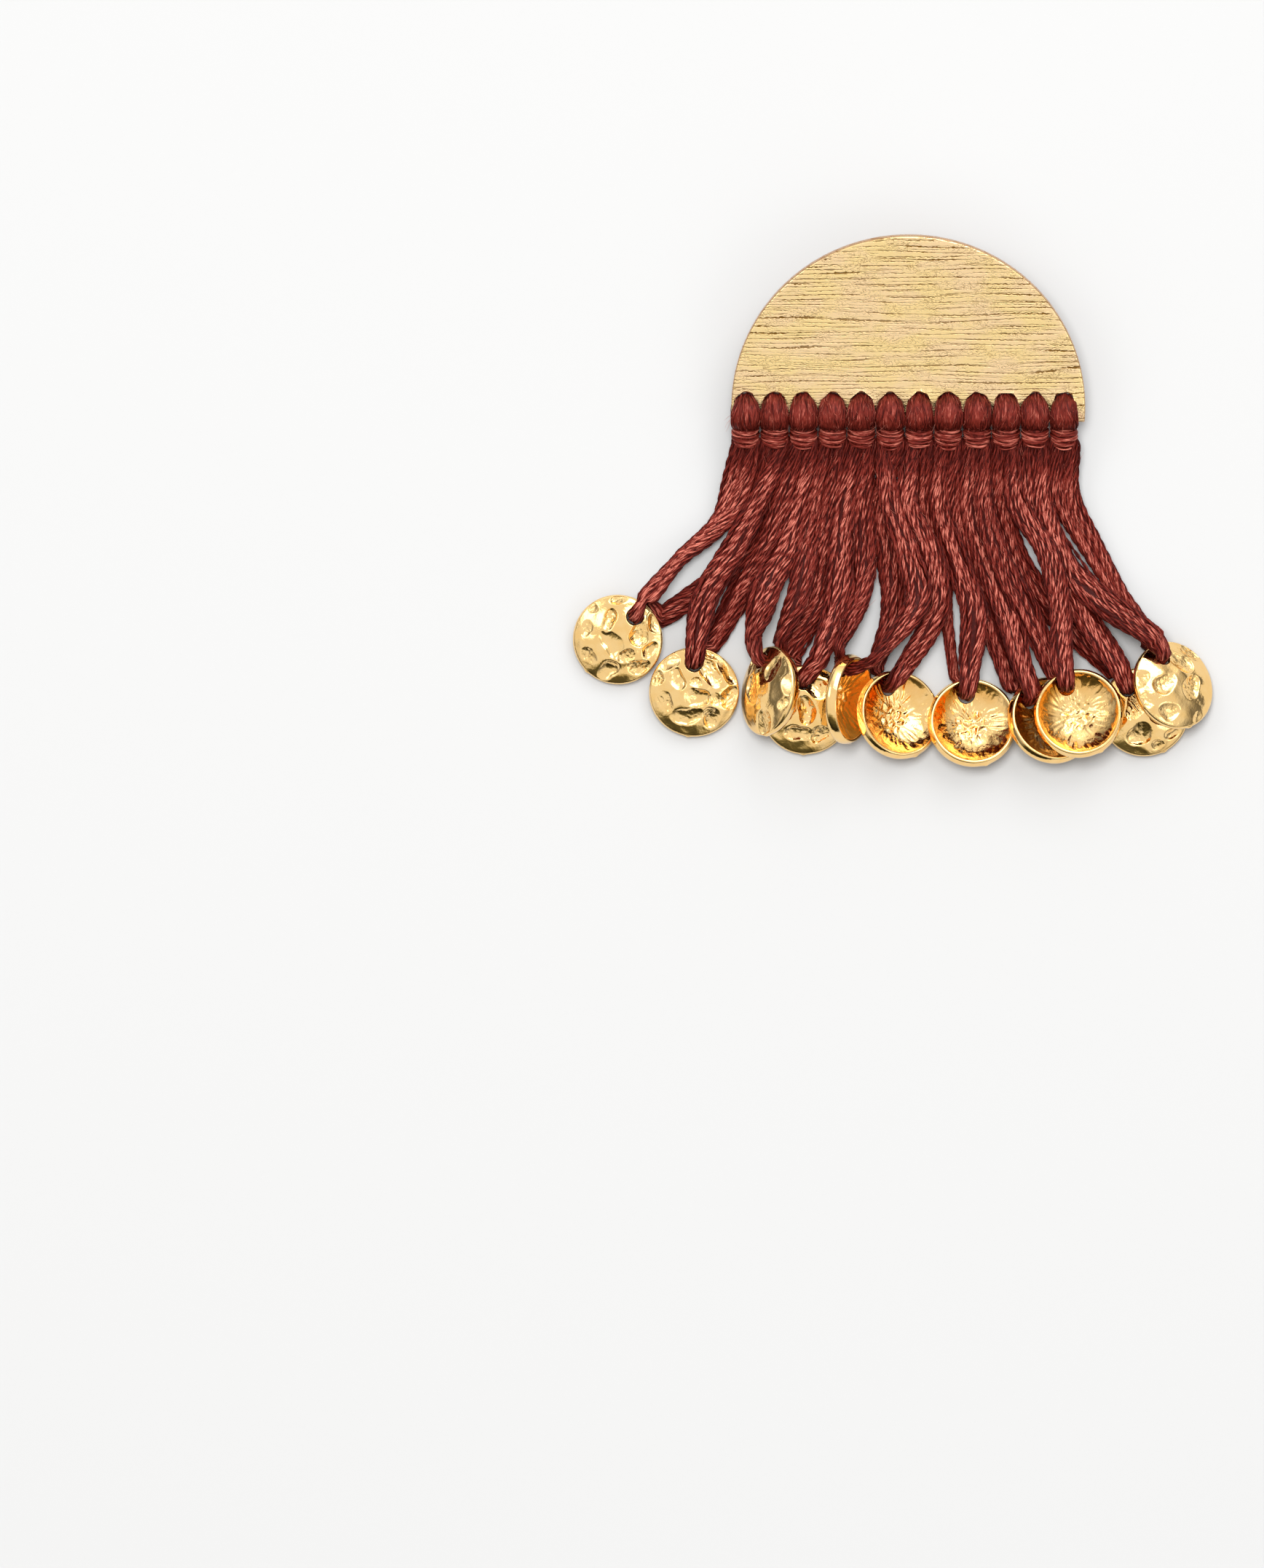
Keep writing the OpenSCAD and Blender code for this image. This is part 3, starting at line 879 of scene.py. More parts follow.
    def dome(self, xy: np.ndarray) -> tuple[np.ndarray, np.ndarray]:
        """Height of the dome less its hammer marks, faintly uneven, and its crumple."""
        rho = np.hypot(xy[..., 0], xy[..., 1])
        z = self.height - self.dome_r + np.sqrt(self.dome_r**2 - rho**2)
        depth, crumple = self.dented(xy)
        uneven = Waves(40 + self.number, 1.4, 4.0).at(xy) * 0.060 * smoothstep(5.0, 4.2, rho)
        fold = 1 - 2 * np.abs(Waves(60 + self.number, 0.5, 1.3).at(xy))
        return z - depth + uneven + fold * 0.08 * crumple, crumple * 0.45 + 0.05

    def bowl(self, xy: np.ndarray) -> tuple[np.ndarray, np.ndarray]:
        """Height of the hollow: part of a ball, with creases that run outwards and a kneaded middle.

        The creases are 1 - 2 |field| of a wave field that is read at the direction from the middle and
        changes slowly with the radius, and the kneaded middle is the same of a field read at the place.
        """
        rho, angle = np.hypot(xy[..., 0], xy[..., 1]), np.arctan2(xy[..., 1], xy[..., 0])
        z = self.bowl_depth - self.bowl_r + np.sqrt(self.bowl_r**2 - np.minimum(rho, self.bowl_edge) ** 2)
        cos, sin = np.cos(angle), np.sin(angle)
        spokes, broad = (Waves(seed + self.number, low, high, 3).at(np.stack([cos, sin, rho * slow], axis=-1))
                         for seed, low, high, slow in ((70, 0.14, 0.36, 0.10), (90, 0.5, 1.2, 0.2)))
        knead = 1 - 2 * np.abs(Waves(110 + self.number, 0.8, 1.9).at(xy))
        outer = smoothstep(0.8, 2.4, rho) * smoothstep(4.5, 4.1, rho)
        crease = (1 - np.abs(spokes) * 2) * 0.040 + broad * 0.045
        crumple = 0.12 + 0.25 * smoothstep(2.2, 1.2, rho)
        z = z + 0.10 + crease * outer + knead * 0.15 * smoothstep(2.4, 0.8, rho)
        return z, crumple * smoothstep(4.5, 4.2, rho)

    def wall(self) -> np.ndarray:
        """Rings of the lip and of the side, which waves faintly and has a small nib of metal at one place."""
        rings = self.circles(np.ones(len(LIP)), 1.0) * LIP[:, 0][:, None, None]
        turn = np.degrees(np.arctan2(rings[..., 1], rings[..., 0]))
        nib = self.nib_h * hump(turn, self.nib_at, 3.2) * smoothstep(0.2, 0.8, LIP[:, 1])[:, None]
        angle = np.radians(turn)
        wave = Waves(150 + self.number, 0.9, 2.4).at(np.stack([np.cos(angle), np.sin(angle)], -1))
        return rings * (1 + (nib + 0.010 * wave)[..., None] / self.disc_r)

    def build(self, layout: Layout, finish: bpy.types.Material) -> bpy.types.Object:
        """Makes the dish as one closed sheet of rings: hollow, lip and side wall, dome and the eye's wall.

        Hollow, walls and dome lie at heights of their own in the finish's patterns, and so does each charm.
        In a hollow, the deeper colour is a painted reflection of the hollow's own gold, most on the lower
        left as the camera sees it, and the glow between the walls of a steep one is painted light.

        Args:
            layout: where the charms hang.
            finish: the material.
        Returns:
            The piece, which stands for its node.
        """
        inside, outside = self.seen_rings, self.hidden_rings + 4
        if self.domed:
            inside, outside = self.hidden_rings, self.seen_rings
        hollow = self.circles(np.linspace(0, 1, inside), self.bowl_edge)
        dome = self.circles(np.linspace(1, 0, outside), self.dome_edge)
        (z_in, c_in), (z_out, c_out) = self.bowl(hollow), self.dome(dome)
        z_wall = np.repeat(LIP[:, 1:], self.around, 1)
        z_eye = z_out[-1] + (z_in[0] - z_out[-1]) * np.linspace(0, 1, self.eye_rings + 2)[1:-1, None]
        eye = np.repeat(dome[-1:], self.eye_rings, axis=0)
        sheets = ((hollow, z_in, c_in, 0.0), (self.wall(), z_wall, 0.0, 30.0), (dome, z_out, c_out, 60.0),
                  (eye, z_eye, 0.0, 30.0))
        xy, z = (np.concatenate([sheet[i] for sheet in sheets]) for i in (0, 1))
        crumple, layer = (np.concatenate([np.broadcast_to(s[i], s[1].shape) for s in sheets]) for i in (2, 3))
        local = np.concatenate([xy, z[..., None]], axis=-1)
        plan = np.concatenate([xy, (layer + 3.7 * self.number)[..., None]], axis=-1)
        points = local.reshape(-1, 3) @ self.spin().T + self.place(layout)
        faces = grid_faces(len(local), self.around, True)[:, ::-1]
        # Painted reflection: the hollow's deeper colour where its gold mirrors its own walls, and in steep
        # hollows a painted glow.
        as_seen = xy @ turned(-self.shows.value * self.eye, "Z")[:2, :2]
        away = as_seen @ along(self.painted_reflection_side)[:2] / self.bowl_edge
        painted_reflection = smoothstep(1.8, 4.0, np.hypot(xy[..., 0], xy[..., 1])) * np.clip(0.30 + 0.75 * away, 0.12, 1)
        painted_reflection[len(hollow):] = 0
        painted_glow = np.zeros_like(painted_reflection)
        painted_glow[:len(hollow)] = 0 if self.domed or self.tip <= self.steep else self.glow
        body = Body()
        body.add(points, [faces], plan=plan.reshape(-1, 3), crumple=crumple.ravel(), painted_reflection=painted_reflection.ravel(),
                 painted_glow=painted_glow.ravel())
        piece = body.write(f"charm_{self.number:02d}", finish)
        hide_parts(f"disc_{self.number:02d}")
        return piece


@dataclass(frozen=True)
class Lock:
    """One of the two locks of thread below a knot, and the dish that it hangs.

    Side is -1 on the left and 1 on the right, and come the angle from which it reaches its dish. At a
    quarter, a half and three quarters of its fall, bow is its sideways shift as a share of the fall, lay its
    height above the floor in lock thicknesses and spread its width in lock widths. Gate is the width at the
    dish's edge, part half the distance that its two halves stand apart, and tuck how far its end turns back.
    """

    side: int
    dish: int
    way: Way
    come: float
    bow: tuple[float, float, float]
    lay: tuple[float, float, float]
    spread: tuple[float, float, float] = (1.45, 1.50, 1.45)
    gate: float = 1.37
    part: float = 0.0
    tuck: float = 0.0


@dataclass(frozen=True)
class Tassel:
    """A knot of thread round the strip below one hole, its wraps and the two locks that leave it."""

    number: int
    locks: tuple[Lock, Lock]
    layout: Layout
    charms: dict[int, Charm]
    lock_w: float = 1.5
    lock_t: float = 1.5
    flat_t: float = 1.1
    band_w: float = 3.0
    band_h: float = 2.2
    band_t: float = 2.4
    knot_t: float = 1.35
    gap: float = 0.12
    gate_s: float = 1.3
    into_s: float = 1.9
    strands: int = 18
    ply_r: float = 0.145
    twist: float = 3.1
    rings: int = 54
    full: float = 1.22
    head_strands: int = 26
    head_rings: int = 40
    wrap_top: float = -0.52
    wrap_h: float = 2.55
    wrap_turns: float = 11.0
    wrap_rings: int = 264
    wrap_r: float = 0.12
    core_rings: int = 14
    loose: int = 60
    head_loose: int = 34
    worn_loose: int = 80
    worn_heads: tuple[int, ...] = (4, 5)

    @property
    def band_v(self) -> float:
        """Place of the wraps' top up the plate, just below its straight edge."""
        return -self.knot_t / 2 - self.gap

    @property
    def mid_w(self) -> float:
        """Middle of the plate's thickness."""
        return self.layout.plate_t / 2

    def lock_rows(self, lock: Lock) -> np.ndarray:
        """Rows of a lock from its wraps to its dish: place, the way across, half width, half thickness."""
        charm = self.charms[lock.dish]
        gap, lock_w, lock_t, flat_t = self.gap, self.lock_w, self.lock_t, self.flat_t
        u = self.layout.hole_u(self.number) + lock.side * self.layout.pitch / 4
        start = self.layout.on_plate(u, self.band_v - self.band_h / 2, self.mid_w)
        leave = self.layout.on_plate(u, self.band_v - self.band_h - 0.3, self.mid_w)
        swing = lock.come - charm.eye
        under, into = lock.way.under, lock.way is Way.INTO
        high_h = (charm.side_h + charm.dome_h / 3 if charm.domed else 0) + gap + lock_t / 2
        low_h = (0 if charm.domed else -charm.side_h - charm.dome_h / 4) - gap - flat_t / 2
        eye_out = charm.disc_r - charm.eye_web - charm.hole_r
        middle = charm.place(self.layout)
        cos, sin = np.cos(np.radians(swing)), np.sin(np.radians(swing))
        rim_s = np.sqrt(charm.disc_r**2 - (eye_out * sin) ** 2) - eye_out * cos
        turn_r = (lock_t + 2 * charm.hole_r - lock_w) / 2 + gap
        w, w0 = (np.cross(charm.to_eye(by), charm.facing()) for by in (swing, 0.0))

        def at_eye(turn: float, s: float, h: float) -> np.ndarray:
            """Place near the eye, s outwards along the way the lock comes and h along the dish's facing."""
            p = middle + eye_out * charm.to_eye() + s * charm.to_eye(turn) + h * charm.facing()
            return np.array([p[0], p[1], max(p[2], gap + flat_t / 2)])

        def row(p: np.ndarray, way: np.ndarray, wide: float, deep: float) -> np.ndarray:
            """One row of the table."""
            return np.r_[p, way, wide / 2, deep / 2]

        gate_h = low_h if under else high_h + self.into_s * into
        gate = at_eye(swing, self.into_s if into else rim_s + self.gate_s, gate_h)
        drop = abs(leave[1] - gate[1])
        rows = [row(start, RIGHT, lock_w, lock_t), row(leave, RIGHT, lock_w * 1.22, lock_t)]
        for i in range(3):
            p = leave + (i + 1) / 4 * (gate - leave)
            p = np.array([p[0] + lock.bow[i] * drop, p[1], gap + lock_t * (lock.lay[i] + 0.5)])
            rows.append(row(p, RIGHT, lock_w * lock.spread[i], lock_t))
        if into:
            for s, h in ((self.into_s, self.into_s), (0.7, 0.75)):
                rows.append(row(at_eye(swing, s, high_h + h - 0.3 * (self.into_s - s)), w, lock_w, lock_t))
        else:
            twin = lock_w if lock.way.joins else 0
            for s, e in ((self.gate_s, 0.65), (0.3, 0.3)):
                p = at_eye(swing, rim_s + s + twin / 3, low_h if under else high_h) + twin * e * w
                thick = (flat_t if under else lock_t) - twin * (1 - e) / 5
                rows.append(row(p, w, lock_w * (lock.gate - 0.1 * (s < 1)), thick))
        if lock.way is Way.OVER:
            rows += [row(at_eye(swing, turn_r * 0.9, high_h), w, lock_w * min(lock.gate, 1.25), lock_t),
                     row(at_eye(swing / 2, turn_r * 0.1, high_h - turn_r * 0.3), w0, lock_w * 1.18, lock_t)]
        if lock.way in (Way.OVER, Way.INTO):
            rows += [row(at_eye(0, -0.12, (high_h + low_h) / 2), w0, lock_w * 1.08, lock_t * 1.15),
                     row(at_eye(0, turn_r * 0.25, low_h + turn_r * 0.3), w0, lock_w, (lock_t + flat_t) / 2),
                     row(at_eye(0, turn_r * 0.8, low_h), w0, lock_w * 0.8, flat_t)]
        if lock.way is Way.UNDER:
            rows.append(row(at_eye(0, turn_r * 0.8 + 6 * gap, low_h), w0, lock_w * 0.8, flat_t))
        if lock.tuck:
            p = at_eye(0, turn_r * 0.8 + 6 * gap - lock.tuck, low_h + 0.3)
            rows.append(row(np.array([p[0], p[1], gap + flat_t / 2]), w0, lock_w * 0.9, flat_t))
        return np.array(rows)

    def plied(self, body: Body, path: np.ndarray, seed: int, part: float, tone: float) -> np.ndarray:
        """Adds a lock: strands that wander in its oval section, each of two plies that wind round each other.

        Strand i sits at a share of the section's half width and thickness, at an angle that starts at about
        its share of the turn and sways by sines of the length; ply k lies on a small circle round it at
        2 pi length / twist + k pi. Their colour is painted darker at the lock's sides, low down and just
        below the wraps, as painted shade.

        Args:
            body: takes the mesh.
            path: the lock's rows, evenly apart.
            seed: draws the wander.
            part: how far its two halves stand apart above the dish, from their middle.
            tone: how light its painted light is; a lock that runs under a dish is painted darker, as shade.
        Returns:
            Middle lines of the strands, strands by rings by 3.
        """
        rng, n = np.random.default_rng(seed), self.strands
        p = path[:, :3]
        a, b = square_to(np.gradient(p, axis=0), path[:, 3:6])
        length = run_length(p)
        base = 2 * np.pi * (np.arange(n)[:, None] + rng.uniform(-0.3, 0.3, (n, 1))) / n
        base = base + 0.5 * np.cos(base)
        sway = sum(amp * np.sin(2 * np.pi * length / wave + any_phase(rng, n))
                   for amp, wave in ((0.26, 27.0), (0.15, 12.0), (0.07, 5.0)))
        angle = base + sway + rng.uniform(-1, 1) * 0.04 * length
        swell = rng.uniform(0.84, 0.98, (n, 1))
        swell = swell * (1 + 0.07 * np.sin(2 * np.pi * length / 9.0 + any_phase(rng, n)))
        half = np.maximum(path[:, 6] * self.full - 0.19, 0.2)
        thick = np.maximum(path[:, 7] - 0.19, 0.15)
        spot, wide = (0.74, 0.17) if part else (rng.uniform(0.35, 0.8), 0.10)
        open_by = (part if part else rng.uniform(0, 0.12)) * hump(length / length[-1], spot, wide)
        apart = np.sign(np.cos(base + rng.uniform(-0.4, 0.4))) * open_by
        aside = swell * np.cos(angle) * (half - 0.6 * open_by) + apart
        lift = swell * np.sin(angle)
        centre = p + aside[..., None] * a + (lift * thick)[..., None] * b
        # Painted shade: strands low in the lock, at its sides and just below the wraps are painted darker.
        rise = 0.5 + 0.5 * (lift[..., None] * b)[..., 2]
        off = np.clip(np.abs(aside) / (half + 1e-6), 0, 1)
        painted_light = (0.42 + 0.58 * rise) * (1 - 0.42 * off**4) * (0.55 + 0.45 * smoothstep(1.8, 5.5, length))
        # The core is painted dark, as the shade inside the bundle under its strands.
        core = np.maximum(half - 1.2 * open_by, 0.12)
        lay_core(body, p, a, core * 0.80, thick * 0.78, 12, seed + 400, 5.5, 0.16)
        phase = 2 * np.pi * length / (self.twist * rng.uniform(0.9, 1.1, (n, 1))) + any_phase(rng, n)
        turn = np.concatenate([phase, phase + np.pi])
        crest = np.cos(turn)[..., None] * a + np.sin(turn)[..., None] * b
        plies = np.concatenate([centre, centre]) + crest * self.ply_r * 0.8
        plies[..., 2] = np.maximum(plies[..., 2], self.ply_r + 0.02)
        size = np.full(plies.shape[:2], self.ply_r)
        size[:, [0, -1]] *= 0.3
        lay_tubes(body, plies, np.broadcast_to(a, plies.shape), size, size, 4, crest=crest, seed=seed,
                  shade=np.concatenate([painted_light, painted_light]) * tone)
        return centre

    def knot_head(self, body: Body) -> np.ndarray:
        """Adds the ring of thread through the hole and over the straight edge: a core and strands laid on it.

        The ring runs round the angle q, from 0 in the hole to 180 degrees under the edge. Its width follows
        HEAD, which gives the egg its shape, and a strand keeps about one angle of the oval section all round.

        Args:
            body: takes the mesh.
        Returns:
            Middle lines of the strands laid on it, strands by rings by 3.
        """
        lay, n = self.layout, self.head_strands
        half = (lay.hole_up + self.gap + self.knot_t / 2) / 2
        q = 2 * np.pi * np.arange(self.head_rings) / self.head_rings
        under = np.degrees(np.arccos(np.cos(q)))
        wide, thick, deep = (np.interp(under, HEAD[:, 0], HEAD[:, k]) for k in (1, 2, 3))
        v = lay.hole_up - half + half * np.cos(q)
        centre = lay.on_plate(lay.hole_u(self.number), v, self.mid_w + deep * np.sin(q))
        a, b = square_to(np.roll(centre, -1, axis=0) - np.roll(centre, 1, axis=0), RIGHT)
        # The core's top is painted lighter, as if lit from above; the strands are painted lighter where they
        # face outwards, times a random tone of their own.
        lay_core(body, centre, RIGHT, wide / 2 * 0.97, thick / 2 * 0.95, 22, 640 + self.number, 9.5, 0.62,
                 True)
        rng = np.random.default_rng(500 + self.number)
        around = 2 * np.pi * (np.arange(n)[:, None] + 0.5 * rng.uniform(-1, 1, (n, 1))) / n
        for amp, times in ((0.30, 1), (0.14, 2), (0.06, 4)):
            around = around + amp * np.sin(times * q + any_phase(rng, n))
        r = rng.uniform(0.06, 0.115, (n, 1)) * (1 + 0.2 * np.sin(3 * q + any_phase(rng, n)))
        proud = rng.uniform(0.2, 1.0, (n, 1)) + 0.5 * np.sin(2 * q + any_phase(rng, n))
        cos, sin = np.cos(around), np.sin(around)
        lines = centre + (cos * (wide / 2 - r * proud))[..., None] * a
        lines = lines + (sin * (thick / 2 - r * (proud - 0.2)))[..., None] * b
        shade = rng.uniform(0.52, 0.82, (n, 1)) * (0.85 + 0.15 * np.sin(5 * q + any_phase(rng, n, 6)))
        crest = cos[..., None] * a + sin[..., None] * b
        lay_tubes(body, lines, np.broadcast_to(RIGHT, lines.shape), r * 1.4, r, 4, True, crest=crest,
                  seed=600 + self.number, fine=1.4, shade=shade)
        return lines

    def wraps(self, body: Body) -> None:
        """Adds the band: a core and threads wound round it as one spiral, place = middle + half width cos(q)
        across + half depth sin(q) front to back, with q turning on the way down and the barrel drawn in at
        both ends."""
        lay, rng = self.layout, np.random.default_rng(800 + self.number)
        u0, top, tall = lay.hole_u(self.number), self.wrap_top, self.wrap_h

        def barrel(down: np.ndarray) -> np.ndarray:
            """Share of the full girth at a share of the way down: drawn in above, more so below."""
            above, below = np.clip((0.28 - down) / 0.28, 0, 1), np.clip((down - 0.45) / 0.55, 0, 1)
            return 1 - 0.20 * above**2 - 0.36 * below**1.6

        share = np.linspace(-0.02, 1, self.core_rings)
        girth = barrel(share)
        centre = lay.on_plate(u0, top - share * tall, self.mid_w)
        # The core's top is painted lighter, as if lit from above.
        lay_core(body, centre, RIGHT, self.band_w / 2 * 0.99 * girth, self.band_t / 2 * 0.95 * girth, 20,
                 660 + self.number, 8.0, 0.45)
        q = np.linspace(0, 2 * np.pi * self.wrap_turns, self.wrap_rings)
        down = 0.02 + 0.86 * q / q[-1]
        down = down + 0.06 * np.sin(0.37 * q + rng.uniform(0, 6)) + 0.05 * np.cos(q + rng.uniform(-1.2, 1.2))
        down = down + 0.025 * np.sin(2.3 * q + rng.uniform(0, 6))
        wave = barrel(down) * (1 + 0.03 * np.sin(1.7 * q + rng.uniform(0, 6)))
        r = self.wrap_r * (1 + 0.35 * np.sin(0.9 * q + rng.uniform(0, 6)))
        u = u0 + (self.band_w / 2 + self.wrap_r - r) * wave * np.cos(q)
        w = self.mid_w + (self.band_t / 2 + 0.10 - r * 0.6) * wave * np.sin(q)
        v = top - down * tall - 0.28 * np.clip(np.sin(q), 0, 1)
        line = lay.on_plate(u, v, w)[None]
        out = unit(line - lay.on_plate(u0, v, self.mid_w))
        # The wound threads are painted lighter where they face outwards, as painted light, in a slow wave of
        # tone.
        shade = 0.76 + 0.16 * np.sin(0.8 * q + rng.uniform(0, 6))
        lay_tubes(body, line, out, r[None] * 0.95, r[None] * 1.3, 5, crest=out, seed=900 + self.number,
                  fine=1.1, shade=shade[None])

    def fuzz(self, body: Body, lines: np.ndarray, count: int) -> None:
        """Adds loose fibres: thin curved tubes of three sides that start on a strand and stand off it.

        Args:
            body: takes the mesh.
            lines: middle lines of strands, strands by rings by 3.
            count: number of fibres.
        """
        rng, rings = np.random.default_rng(1200 + self.number), 6
        strand, ring = rng.integers(0, len(lines), count), rng.integers(2, lines.shape[1] - 14, count)
        start = lines[strand, ring]
        run = unit(lines[strand, ring + 1] - start)
        away = unit(np.cross(run, unit(rng.normal(size=(count, 3)))))
        long = rng.uniform(0.5, 1.7, (count, 1, 1))
        s = np.linspace(0, 1, rings)[None, :, None]
        curl = unit(np.cross(run, away))[:, None]
        lift = rng.uniform(0.2, 0.75, (count, 1, 1))
        line = start[:, None] + long * s * run[:, None] * rng.choice([-1, 1], (count, 1, 1))
        line = line + away[:, None] * (0.22 + lift * s**1.4 * long * 0.6)
        line = line + curl * 0.25 * np.sin(3 * s + lift * 9) * s
        line[..., 2] = np.maximum(line[..., 2], 0.05)
        size = np.repeat(np.linspace(0.020, 0.008, rings)[None], count, 0)
        across = np.broadcast_to(away[:, None], line.shape)
        lay_tubes(body, line, across, size, size, 3, seed=1300 + self.number)

    def build(self, finish: bpy.types.Material) -> bpy.types.Object:
        """Makes the tassel.

        Args:
            finish: its material.
        Returns:
            The piece, which stands for its node.
        """
        body = Body()
        head = self.knot_head(body)
        self.wraps(body)
        lines = []
        for i, lock in enumerate(self.locks):
            path = evenly(self.lock_rows(lock), self.rings)
            # Painted shade: locks that run under a dish are painted darker.
            tone = 0.88 if lock.way.under else 0.98
            lines.append(self.plied(body, path, 20 * self.number + i, lock.part, tone))
        self.fuzz(body, np.concatenate(lines), self.loose)
        self.fuzz(body, head[:, 2:34], self.worn_loose if self.number in self.worn_heads else self.head_loose)
        piece = body.write(f"thread_{self.number:02d}", finish)
        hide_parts(f"tassel_{self.number:02d}")
        return piece


# Profile of a charm's lip and side, in millimetres. Columns: radius, height above the mouth
LIP = np.array([[4.52, 0.07], [4.55, 0.02], [4.60, 0.0], [4.68, -0.015], [4.76, 0.0], [4.82, 0.04],
                [4.87, 0.12], [4.98, 0.36], [5.09, 0.62], [5.11, 0.85], [5.10, 1.02], [5.06, 1.13],
                [5.00, 1.20]])

# Knot heads, from the hole (0 degrees) to under the edge (180). Columns: angle, width, thickness, depth
HEAD = np.array([[0, 2.20, 1.95, 1.88], [12, 2.28, 1.90, 1.88], [30, 2.82, 1.72, 1.90],
                 [60, 3.14, 1.46, 1.88], [90, 3.26, 1.36, 1.80], [120, 3.22, 1.20, 1.62],
                 [150, 2.90, 0.90, 1.20], [180, 2.60, 0.80, 0.90]])

# Hammer marks in millimetres and degrees as the camera sees them, from the charm's middle, with the depth in
# millimetres before it is scaled and the crumple as a share. Columns: right, high, long, wide, turn, deep,
# crumple
PLAIN = ((0.4, 2.2, 2.4, 2.0, 30, 0.20, 0.1), (-2.2, 1.6, 2.2, 1.7, 100, 0.17, 0.3),
         (2.6, 0.6, 2.3, 1.8, 60, 0.18, 0.1), (-0.4, -0.4, 2.4, 2.0, 0, 0.2, 0.1),
         (-2.8, -1.6, 2.1, 1.7, 40, 0.16, 0.4), (1.9, -2.2, 2.3, 1.9, 120, 0.2, 0.2),
         (-0.8, -3.2, 2.4, 1.7, 10, 0.18, 0.3))
MARKS = {
    1: ((2.36, 0.38, 2.6, 2.0, 60, 0.24, 0.5), (-0.66, -0.6, 3.1, 2.2, -60, 0.20, 0.1),
        (-0.97, 2.2, 2.2, 1.3, 75, 0.18, 0.3), (-0.07, 4.3, 1.9, 0.9, 15, 0.14, 0.6),
        (-2.9, 3.4, 1.1, 0.9, 0, 0.08, 0.5), (-3.6, 1.15, 2.0, 1.1, 70, 0.07, 0.3),
        (-3.4, -1.9, 2.0, 1.3, -50, 0.08, 0.6), (-1.25, -3.6, 2.4, 1.8, 25, 0.22, 0.2),
        (0.94, -2.0, 1.8, 1.5, 20, 0.15, 0.9), (2.2, -3.3, 2.3, 1.6, 20, 0.17, 0.8),
        (3.5, -1.35, 2.1, 1.2, 60, 0.17, 0.2), (4.1, 1.5, 2.4, 1.2, -65, 0.18, 0.5)),
    2: ((-1.9, 1.3, 2.5, 1.5, 100, 0.19, 0.2), (1.8, 2.0, 3.0, 1.9, 118, 0.23, 0.4),
        (3.8, 2.1, 2.9, 1.3, 122, 0.19, 0.2), (0.3, -0.8, 2.6, 2.2, 20, 0.22, 0.3),
        (0.25, 0.95, 1.4, 1.0, 0, 0.10, 0.8), (2.5, -1.0, 1.6, 1.3, 80, 0.13, 0.3),
        (4.0, -0.85, 2.5, 1.6, 55, 0.17, 0.8), (1.9, -3.0, 2.1, 1.9, 70, 0.20, 0.5),
        (-0.8, -2.9, 3.1, 1.9, 8, 0.20, 0.3), (-3.3, -1.2, 2.3, 1.6, -50, 0.08, 0.5),
        (-2.7, 3.2, 2.2, 1.4, 40, 0.12, 0.2), (-4.1, 1.3, 1.8, 1.1, 70, 0.08, 0.7),
        (2.1, 4.0, 2.1, 0.9, -25, 0.12, 0.8)),
    3: ((-2.6, 0.3, 3.2, 2.2, 95, 0.22, 0.3), (-1.6, -3.4, 2.8, 1.8, 60, 0.18, 0.9),
        (0.4, -1.2, 1.8, 1.2, 40, 0.12, 0.4), (-0.5, 2.6, 2.6, 1.8, 80, 0.16, 0.1),
        (0.9, 1.0, 2.4, 1.7, 100, 0.16, 0.1), (-2.9, 2.9, 2.0, 1.4, 120, 0.14, 0.1)),
    4: ((1.15, 2.4, 3.0, 1.9, -45, 0.22, 0.2), (0.1, -0.2, 2.9, 1.9, 95, 0.22, 0.3),
        (-0.9, -2.8, 2.8, 1.6, 0, 0.20, 0.4), (1.6, -2.9, 2.2, 1.7, 50, 0.16, 0.7),
        (2.9, -1.5, 2.3, 1.8, 80, 0.10, 0.1), (2.3, 4.1, 2.0, 1.1, -30, 0.14, 0.5),
        (-2.2, 0.8, 2.3, 1.8, 70, 0.16, 0.1), (3.6, 1.1, 2.2, 1.5, 100, 0.14, 0.3)),
    10: ((-0.44, -2.7, 2.6, 2.4, 0, 0.24, 0.3), (-1.0, 0.4, 2.6, 2.0, 70, 0.17, 0.8),
         (3.2, -2.7, 1.5, 1.0, 30, 0.14, 0.2), (-3.0, -1.2, 2.0, 1.5, 60, 0.08, 0.2),
         (1.9, -0.6, 2.2, 1.7, 20, 0.15, 0.2), (1.6, -3.9, 1.5, 0.9, 10, 0.07, 0.6)),
    11: ((1.5, 2.8, 3.2, 1.8, -35, 0.22, 0.3), (-0.5, 0.4, 2.6, 2.0, 25, 0.20, 0.4),
         (2.5, 0.0, 2.7, 2.1, 70, 0.19, 0.6), (-2.9, 1.2, 2.0, 1.7, 80, 0.17, 0.2),
         (0.2, -2.6, 2.5, 1.6, 10, 0.18, 0.4), (-2.3, -1.4, 1.7, 1.4, 0, 0.07, 0.5),
         (3.6, -3.1, 1.3, 0.8, 45, 0.07, 0.3), (2.6, 4.1, 2.3, 1.0, -25, 0.12, 0.5)),
}

